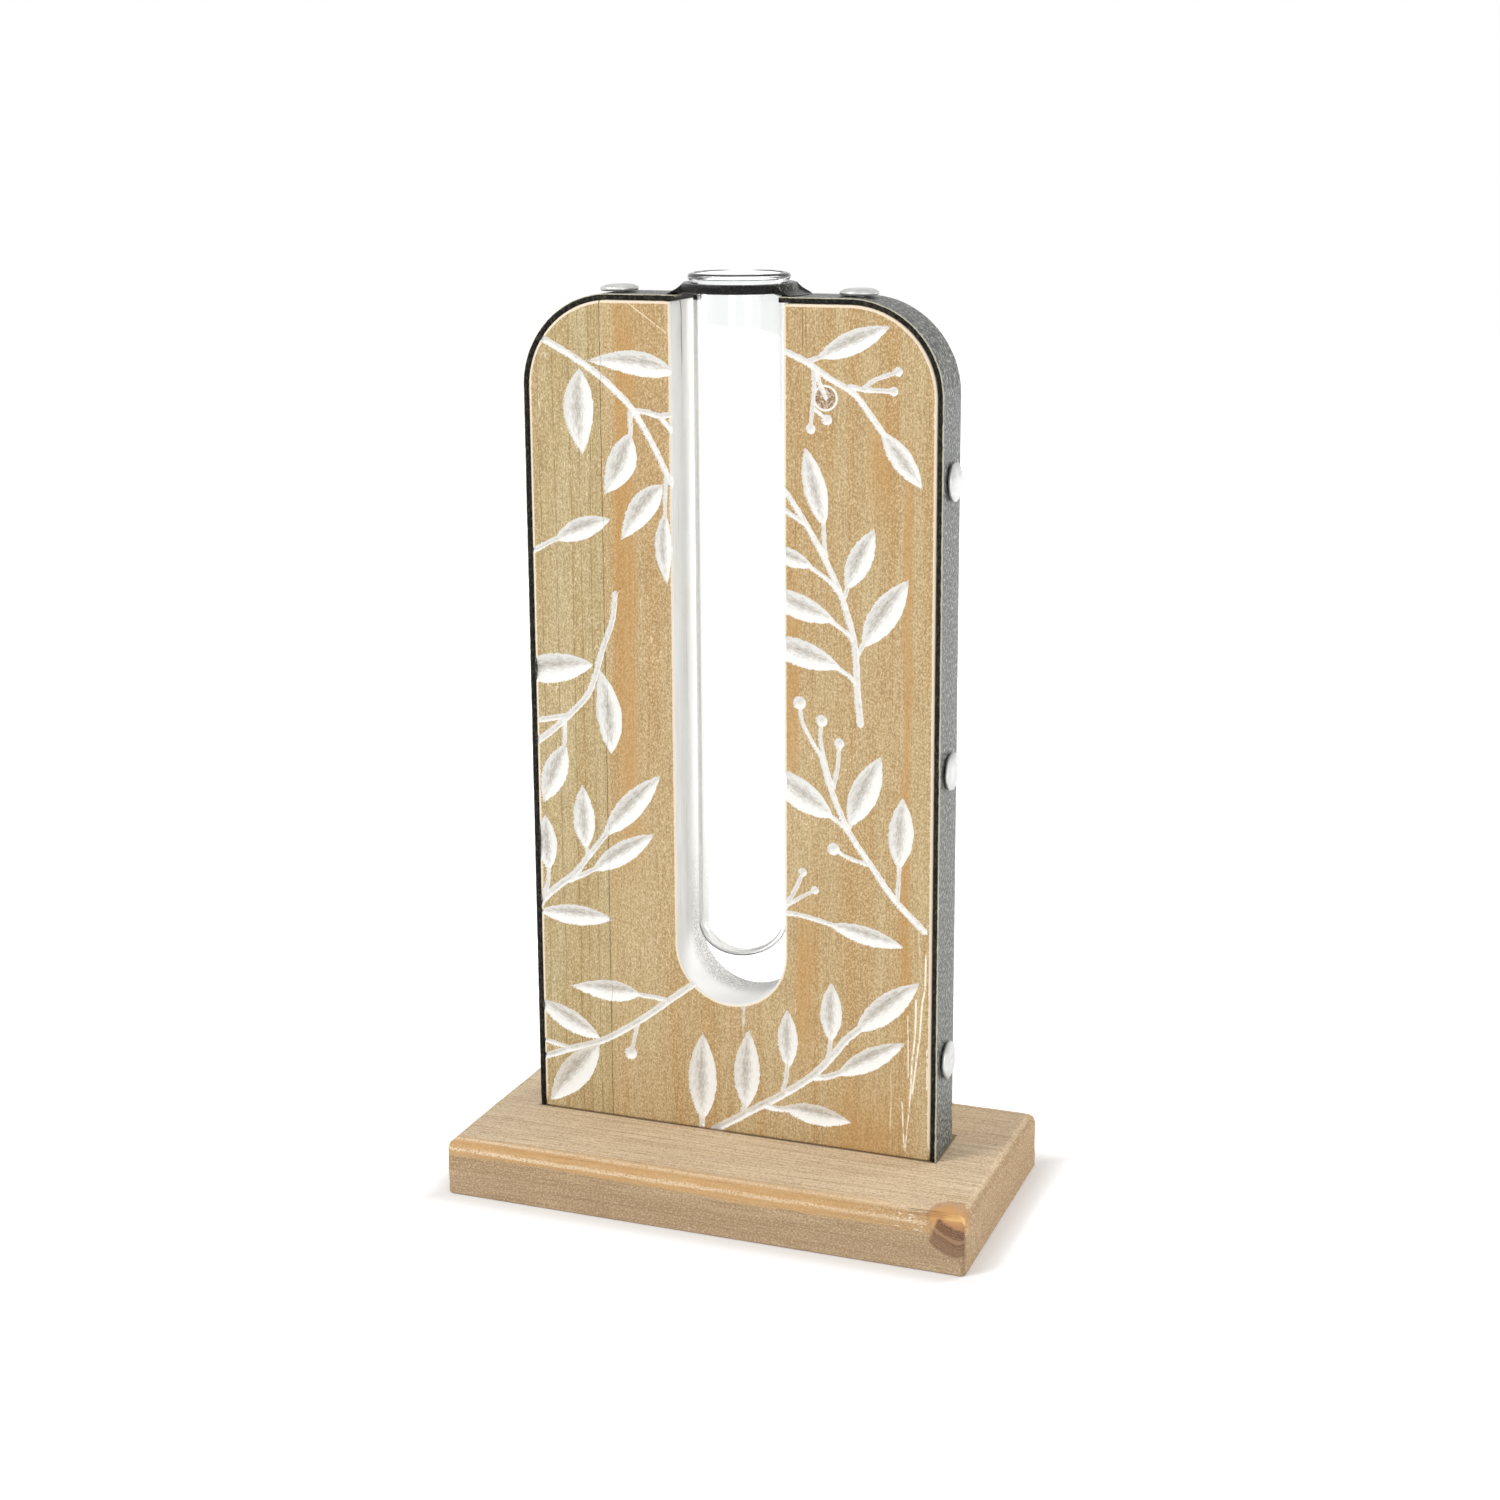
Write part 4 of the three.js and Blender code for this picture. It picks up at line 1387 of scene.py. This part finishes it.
def make_ring(finish):
    top, under = ring_high[2], ring_high[2] - ring_thickness
    low, edge, high = inner_low_round, edge_round, outer_high_round
    plain = [(ring_bore, under + low), *bend((ring_bore + low, under + low), low, 180, 270, 3)[1:],
             (ring_bore + 1.6, under)]
    outer_low = bend((ring_radius - edge, under + edge), edge, 270, 360, 4)
    outer_high = bend((ring_radius - high, top - high), high, 0, 90, 6)
    inner_high = bend((ring_bore + edge, top - edge), edge, 90, 180, 4)
    profile = plain + outer_low + outer_high + inner_high
    low_rows = range(len(plain), len(plain) + len(outer_low))
    high_rows = range(low_rows.stop, low_rows.stop + len(outer_high))

    def shape(number, angle, radius, height):
        across = math.degrees(math.atan2(math.sin(angle), abs(math.cos(angle))))
        room = across + slope_front_angle if across < 0 else slope_back_angle - across
        spread = min(1, max(0, 0.3 + room / slope_blend))
        spread = spread * spread * (3 - 2 * spread)
        if number == len(plain) - 1:
            return radius + spread * 1.2, height - spread * (under - toe_z)
        if number in low_rows:
            share = (number - low_rows.start + 1) / len(low_rows)
            out = ring_radius + slope_reach - 0.15 * (1 - share) - radius
            return radius + spread * out, height + spread * (toe_z + 0.1 * share - height)
        if number in high_rows:
            share = 1 - (number - high_rows.start) / (len(high_rows) - 1)
            drop = (top - toe_z - 0.12) * (1 - (1 - share) ** slope_hollow)
            crease = crease_depth * math.exp(-((share - crease_at) / crease_width) ** 2)
            sink = (top - drop - crease - height) * min(1, 3 * share)
            return radius + spread * slope_reach * share ** 1.6, height + spread * sink
        return radius, height

    points, faces = lathe(profile, ring_sides, shape)
    wobble = [0.08 * noise.noise(Vector(p) * 0.5) for p in points]
    points = points + np.array([tube_x, tube_y, 0])
    points[:, 2] = np.minimum(points[:, 2] + np.minimum(wobble, 0), top)
    # Pale specks on the upper outer corner of the ring through the wear measure: painted highlights for
    # glints on gloss black.
    for_painted_light = [0.5 if number in high_rows[4:] else 0.0 for number in range(len(profile))]
    wear = np.repeat(for_painted_light, ring_sides)
    pieces = (points, faces, "holder", ["tube_ring"], "black_steel", [finish], 60)
    return make_piece("support_ring", *pieces, measures={"wear": wear})


ring_paint = black_paint("ring_gloss_black", (5, 5, 6), (10, 10, 12), (40, 38, 36), 0.16, 0.16)
make_ring(ring_paint)

# %% [markdown]
# ## The clout nails
#
# Five bright nails hold the strap on the sides and top that can be seen, and three more on the far side.
# Their heads are stamped, so they are a little domed and not quite round. Each head gets its own seeded
# outline and a slight tilt about its shank, because a row of perfect copies would look like a machine part.
# The nickel on them is pale and rather dull, so it returns the bright room as an even light grey.

# %% Nickel plating
def plating():
    nickel = Finish("nickel_plating")
    cloud = nickel.grain(0.35, 4, 0.6)
    scratches = nickel.grain((2.5, 0.6, 2.5), 3, 0.7)
    colour = nickel.ramp(cloud, (0.3, (188, 188, 186)), (0.7, (214, 214, 211)))
    nickel.set(Base_Color=colour, Metallic=1.0)
    nickel.set(Roughness=nickel.band(scratches, 0.3, 0.7, 0.38, 0.55))
    nickel.relief(nickel.plus(cloud, scratches), 0.2, 0.3)
    return nickel


nail_finish = plating()
print("plating with", len(nail_finish.tree.nodes), "nodes")

# %% [markdown]
# A nail is turned on the lathe with its point down and its head at nought. The function finds out from the
# node's box whether the nail goes in from the left, the right or the top, and turns it that way.

# %% Nails
nail_length = 20
nail_shank = 1.3
nail_point = 4
nail_head_radius = 5.4
nail_head_thickness = 1.9
nail_head_rim = 1.1
nail_sides = 48
head_wave, head_facet, head_shrink = 0.12, 0.14, 0.05
head_facets = 7
head_tilt = 1.6


def make_nail(node, finish):
    low, high = box_of(node)
    middle = (low + high) / 2
    side = int(np.sign(middle[0] - board_mid_x)) if high[0] - low[0] > high[2] - low[2] else 0
    phases = dice.uniform(0, 2 * math.pi, 4)
    rim, dome = nail_head_rim, nail_head_thickness - nail_head_rim
    r = nail_head_radius
    point_top = nail_point - nail_length
    shank = [(0, -nail_length), (nail_shank * 0.9, point_top), (nail_shank, point_top + 0.8),
             (nail_shank, -0.2), (nail_shank + 0.25, 0)]
    head = [(r * 0.8, 0), (r - 0.3, 0.05), (r - 0.05, 0.3), (r, rim * 0.6), (r - 0.1, rim * 0.92),
            (r - 0.4, rim + 0.08), (r * 0.75, rim + dome * 0.6), (r * 0.45, rim + dome * 0.88),
            (0, rim + dome)]

    def shape(number, angle, radius, height):
        outer = max(0, radius / r - 0.5) * 2
        wave = sum(math.sin((k + 2) * angle + phase) for k, phase in enumerate(phases)) / 4
        facet = head_facet * abs(math.sin(head_facets / 2 * angle + phases[0]))
        return radius + outer * (head_wave * wave - facet - head_shrink), height

    points, faces = lathe(shank + head, nail_sides, shape)
    tilt = Matrix.Rotation(math.radians(dice.uniform(-head_tilt, head_tilt)), 3, "Y")
    turn = Matrix.Rotation(math.radians(90 * side), 3, "Y") @ tilt
    points = np.array([tuple(turn @ Vector(p)) for p in points])
    if side:
        head_under = high[0] - nail_head_thickness if side > 0 else low[0] + nail_head_thickness
        points += np.array([head_under, middle[1], middle[2]])
        points[:, 0] = np.clip(points[:, 0], low[0], high[0])
    else:
        points += np.array([middle[0], middle[1], high[2] - nail_head_thickness])
        points[:, 2] = np.clip(points[:, 2], low[2], high[2])
    return make_piece("bright_" + node, points, faces, "holder", [node], "nail_plating", [finish], 50)


for node in sorted(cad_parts):
    if node.startswith("strap_nail"):
        make_nail(node, nail_finish)

# %% [markdown]
# ## The glass test tube
#
# The tube is one thin wall of clear glass with a round bottom and a rolled lip. Glass needs both of its
# surfaces: light bends where it enters the wall and again where it leaves, and that is what draws the grey
# lines down its sides. So the profile goes up the outside, over the lip and down the inside again. The lip is
# a small flare rolled over by the glass worker, thicker than the wall, and it rests on the ring.

# %% Tube
tube_radius = 12.5
tube_wall = 1.1
dome_height = 9.4
bottom_glass = 1.4
lip_radius = 13.9
lip_roll = 1.1
dome_steps = 24
tube_sides = 128


def make_tube(finish):
    inner = tube_radius - tube_wall
    top = tube_length
    quarter = [math.pi / 2 * i / dome_steps for i in range(dome_steps + 1)]
    outside = [(tube_radius * math.sin(a), dome_height * (1 - math.cos(a))) for a in quarter]
    inner_dome = dome_height - tube_wall
    inside = [(inner * math.sin(a), bottom_glass + inner_dome * (1 - math.cos(a))) for a in quarter]
    outside += [(tube_radius, z) for z in np.linspace(dome_height + 8, top - 4, 12)]
    flare = [(12.52, top - 3.2), (12.7, top - 2.6), (13.2, top - 2.3)]
    roll = bend((lip_radius - lip_roll, top - lip_roll - 0.05), lip_roll, -50, 90, 10)
    roll[-1] = (roll[-1][0], top)
    throat = [(12.3, top - 0.25), (11.85, top - 0.8), (11.5, top - 1.7), (11.28, top - 3), (inner, top - 5)]
    inside += [(inner, z) for z in np.linspace(dome_height + 8, top - 7, 12)]
    points, faces = lathe(outside + flare + roll + throat + inside[::-1], tube_sides)
    points = points + np.array([tube_x, tube_y, tube_low[2]])
    return make_piece("glass_tube", points, faces, "tube", ["test_tube"], "glass", [finish], 60)


def clear_glass():
    glass = Finish("clear_glass")
    glass.set(Base_Color=(0.978, 0.988, 0.985, 1), Roughness=0.0, IOR=1.46, Transmission_Weight=1.0)
    glass.relief(glass.grain((0.05, 0.05, 0.02), 2), 0.6, 0.04)
    return glass


make_tube(clear_glass())

# %% [markdown]
# ## The wooden foot
#
# The foot is a slice of a plank with its upper edges rounded over by a sander. Its grain runs lengthwise,
# and a band of warmer wood shows along the front edge. At the front right corner the saw went through a
# knot, which leaves an orange rim and a dark wedge. The block is built in rounded rings from bottom to top.
# Each ring is a rectangle with small rounded corners, and rings further in have tighter ones.

# %% One ring of the foot
foot_corner = 1.6
foot_least_corner = 0.4
foot_length = foot_high[0] - foot_low[0]
foot_depth = foot_high[1] - foot_low[1]
foot_thickness = foot_high[2] - foot_low[2]
foot_corner_steps = 8
points_along, points_across = 70, 36


def rounded_ring(inset):
    radius = max(foot_corner - inset, foot_least_corner)
    x, y = foot_length / 2 - inset - radius, foot_depth / 2 - inset - radius
    corners = [(x, -y, -90), (x, y, 0), (-x, y, 90), (-x, -y, 180)]
    step = max(radius, 0.5) * math.pi / 2 / foot_corner_steps
    parts = [arc((cx, cy), radius, turn, turn + 90, step) for cx, cy, turn in corners]
    ring = []
    for part, following in zip(parts, parts[1:] + parts[:1]):
        ring.append(part)
        count = points_along if abs(part[-1][1] - following[0][1]) < 1e-6 else points_across
        share = np.linspace(0, 1, count + 1)[1:-1, None]
        ring.append(part[-1] * (1 - share) + following[0] * share)
    return np.vstack(ring)


print("rings of", len(rounded_ring(0)), "points round a foot of", round(foot_length, 2), "mm")

# %% [markdown]
# The rings follow a small rounding at the bottom, the straight side, and the wide rounding of the sanded top
# edge. Noise then presses them in a little, most of all along that edge, where a foot gets its knocks.

# %% The block of the foot
foot_round = 2.8
foot_under_round = 0.8
foot_dent, edge_dent, edge_nick = 0.16, 0.22, 0.5
least_sanded, most_sanded = 0.12, 0.7
edge_reach = 3.0


def make_foot(finish):
    under = [(foot_under_round * (1 - math.sin(a)), foot_under_round * (1 - math.cos(a)))
             for a in np.linspace(0, math.pi / 2, 4)]
    wall = [(0, z) for z in np.linspace(foot_under_round, foot_thickness - foot_round, 6)[1:-1]]
    over = [(foot_round * (1 - math.cos(a)), foot_thickness - foot_round * (1 - math.sin(a)))
            for a in np.linspace(0, math.pi / 2, 9)]
    levels = under + wall + over
    points = []
    for inset, z in levels:
        ring = rounded_ring(inset)
        high = max(0.0, 1 - abs(z - (foot_thickness - foot_round * 0.5)) / edge_reach)
        for x, y in ring:
            spot = Vector((x * 0.11, y * 0.11, z * 0.2))
            dent = foot_dent * noise.noise(spot) + edge_dent * high * noise.noise(spot * 3.1)
            nick = edge_nick * high * max(0.0, noise.noise(spot * 5 + Vector((4, 9, 2))) - 0.35)
            back = min(max(least_sanded + dent + nick, 0.0), most_sanded)
            back = back if 0.5 < z < foot_thickness - 0.02 else 0.0
            sx, sy = x * (1 - back / max(abs(x), 30)), y * (1 - back / max(abs(y), 20))
            points.append((sx, sy, z - high * back * 0.5))
    around = len(points) // len(levels)
    faces = strip_faces(0, len(levels), around)
    faces.append(tuple(reversed(range(around))))
    faces.append(tuple(range(len(points) - around, len(points))))
    middle = np.array([(foot_low[0] + foot_high[0]) / 2, (foot_low[1] + foot_high[1]) / 2, foot_low[2]])
    points = np.array(points) + middle
    return make_piece("rounded_foot", points, faces, "holder", ["base_board"], "foot_wood", [finish], 40)


print("upper edge rounded by", foot_round, "mm and pressed in by up to", most_sanded, "mm")

# %% [markdown]
# The foot's stain has greyed a little, and its sides are darker towards the bottom. The top is painted paler
# than the sides: painted light for the top, which the lamps reach most. The cut end is darker, partly because
# it drinks more stain than the long sides and partly as painted shade that takes back the slot lamp's extra
# light on it. Grit of both signs over everything stands for open pores and for the dust that stayed in them.

# %% The stained plank
wood = Finish("foot_stained_pine")
here = x, y, z = wood.axes(wood.place())
front = wood.minus(y, foot_low[1])
broad = wood.grain((0.005, 0.11, 0.11), 4, 0.55, 0.5)
fibres = wood.grain((0.06, 2.2, 2.2), 5, 0.65)
long_lines = wood.grain((0.014, 0.9, 0.9), 5, 0.65, 0.5)
grit = wood.grain((1.6, 2.2, 2.2), 3, 0.75)

wood.colour = wood.ramp(broad, (0.34, (178, 148, 110)), (0.5, (191, 163, 126)), (0.66, (203, 178, 142)))
wood.stain(fibres, 0.46, 0.62, 0.6, (148, 118, 86))
wood.stain(fibres, 0.46, 0.34, 0.45, (214, 188, 150))
wood.over(wood.band(z, 5, 12, 0.45, 0.1), (172, 146, 116))
wood.stain(long_lines, 0.5, 0.64, 0.45, (150, 120, 88))
# Painted light: the top is drawn paler than the sides.
painted_top_light = wood.ramp(long_lines, (0.4, (242, 223, 194)), (0.52, (234, 212, 180)), (0.66, (210, 183, 148)))
painted_top_light = wood.mix(wood.band(fibres, 0.48, 0.62, 0, 0.45), painted_top_light, (176, 147, 114))
wood.stain(z, foot_high[2] - 0.8, foot_high[2], 0.7, painted_top_light)
# The right end is darker: partly end grain, partly painted shade against the slot lamp.
wood.stain(x, foot_high[0] - 1.6, foot_high[0] - 0.6, 0.74, (142, 114, 82))
wood.stain(grit, 0.5, 0.62, 0.5, (232, 212, 180))
wood.stain(grit, 0.49, 0.37, 0.55, (148, 120, 90))
print("plank with", len(wood.tree.nodes), "nodes")

# %% [markdown]
# The warm band is a matter of height and distance from the front. Its upper edge is worn pale, and a few
# pale flecks sit near the corner. Where the board stands on the foot, a narrow band of the foot's top round
# it is painted dark: painted shade in the joint.

# %% Warm band, wear and painted shade in the joint
band_bottom = foot_high[2] - 4.6
joint_shade_width = 0.9

sway = wood.band(wood.grain((0.014, 0.06, 0.06)), 0.3, 0.7, -1.2, 1.2)
warm = wood.band(wood.plus(z, sway), band_bottom - 0.8, band_bottom + 0.8)
wood.over(wood.times(warm, wood.band(front, 5, 2.6), wood.band(x, 30, 62, 0.6, 0.35)), (220, 172, 112))
worn = wood.line(wood.plus(front, wood.minus(foot_high[2] - 0.5, z)), 2.2, 0.2, 0.7)
worn = wood.times(worn, wood.band(grit, 0.4, 0.5), wood.band(x, -72, 64, 0.75, 0.5))
wood.over(worn, (246, 226, 194))
fleck = wood.band(wood.grain((0.5, 2.0, 2.0), 2, 0.6), 0.62, 0.66)
near_corner = wood.times(wood.band(x, 44, 56), wood.band(front, 5, 3.5), wood.band(z, 10.5, 12))
wood.over(wood.times(fleck, near_corner), (246, 236, 214))
beside = wood.minus(wood.size(wood.minus(x, board_mid_x)), board_half + 1.7)
before, behind = wood.minus(face_y, y), wood.minus(y, board_high[1])
away = wood.larger(beside, wood.larger(before, behind))
# Painted shade on the foot's top, in a narrow band round the board and strap.
painted_joint_shade = wood.times(wood.band(away, joint_shade_width, 0.1, 0, 0.75), wood.band(z, foot_top - 0.4, foot_top))
wood.over(painted_joint_shade, (92, 70, 48))
print("foot top at", round(foot_top, 2), "mm, warm band from", round(band_bottom, 2), "mm up")

# %% [markdown]
# The knot is drawn as rings about a point above the corner, because the branch that made it ran upwards
# there. The rings are seen only where they reach the front, and the top shows a tan stain round them and a
# painted highlight on the rounded edge above them.

# %% The cut knot
knot_rings_from = (74.5, 19.0)
knot_dark_from, knot_dark_to = 6.2, 13.8
knot_pale_ring = 9.6
knot_left_end = 66.3
knot_top = (70, foot_low[1] + 0.5, 15.2)
knot_painted_highlight = (73.6, foot_low[1] + 1, 15.6)

bent = wood.band(wood.grain(0.16, 3, 0.6), 0.3, 0.7, -0.9, 0.9)
top_far = wood.plus(wood.distance(here, knot_top, (0.84, 0.42, 0.9)), bent)
wood.stain(top_far, 5.0, 4.2, 0.6, (178, 132, 90))
wood.stain(top_far, 4.0, 2.2, 0.75, (214, 160, 98))
# A pale orange spot on the rounded edge over the knot: a painted highlight.
wood.stain(wood.distance(here, knot_painted_highlight, (0.5, 1, 1)), 2.2, 1.0, 0.7, (248, 204, 134))
rings = wood.plus(wood.distance((x, z), knot_rings_from), wood.times(bent, 0.5))
slanted = wood.minus(x, wood.times(wood.minus(z, 9.0), 0.35))
on_front = wood.band(slanted, knot_left_end - 0.5, knot_left_end + 0.5)
on_front = wood.times(on_front, wood.band(front, 1.1, 0.5))
wood.over(wood.times(wood.band(rings, 7.0, 6.4, 0, 0.7), on_front), (184, 134, 92))
pale_ring = wood.line(rings, knot_pale_ring, 0.2, 0.9)
fine_rings = wood.band(wood.math("SINE", wood.times(rings, 9.0)), -1, 1, 0, 0.3)
fine_rings = wood.plus(fine_rings, wood.band(grit, 0.4, 0.65, -0.1, 0.4), clamp=True)
brown = wood.mix(wood.band(rings, 9.6, 11.8), (108, 76, 56), (134, 104, 80))
brown = wood.mix(wood.larger(pale_ring, fine_rings), brown, (164, 130, 100))
dark = wood.times(wood.band(rings, knot_dark_from - 0.4, knot_dark_from + 0.3),
                  wood.band(rings, knot_dark_to + 0.3, knot_dark_to - 0.5, 0, 0.95))
wood.over(wood.times(dark, on_front), brown)

wood.set(Base_Color=wood.colour, Roughness=0.72, Specular_IOR_Level=0.3)
wood.relief(wood.plus(fibres, wood.times(grit, 0.7)), 0.25, 0.7)
make_foot(wood)

# %% [markdown]
# ## The screws under the foot
#
# Two countersunk screws hold the board on its foot. They show only from below, so their plain turned solids
# are good enough in shape and just need a zinc finish with a faint cloudy texture.

# %% Zinc on the screws
zinc = Finish("zinc_plating")
zinc_cloud = zinc.grain(0.8, 4, 0.6)
zinc_colour = zinc.ramp(zinc_cloud, (0.3, (150, 150, 146)), (0.7, (196, 196, 190)))
zinc.set(Base_Color=zinc_colour, Metallic=1.0, Roughness=zinc.band(zinc_cloud, 0.3, 0.7, 0.28, 0.45))
zinc.relief(zinc_cloud, 0.1, 0.3)
for screw_name in ("base_screw_left", "base_screw_right"):
    screw = bpy.data.objects[screw_name]
    for slot in screw.material_slots:
        slot.material = zinc.material
    print(screw_name, len(screw.material_slots), "material slots")

# %% [markdown]
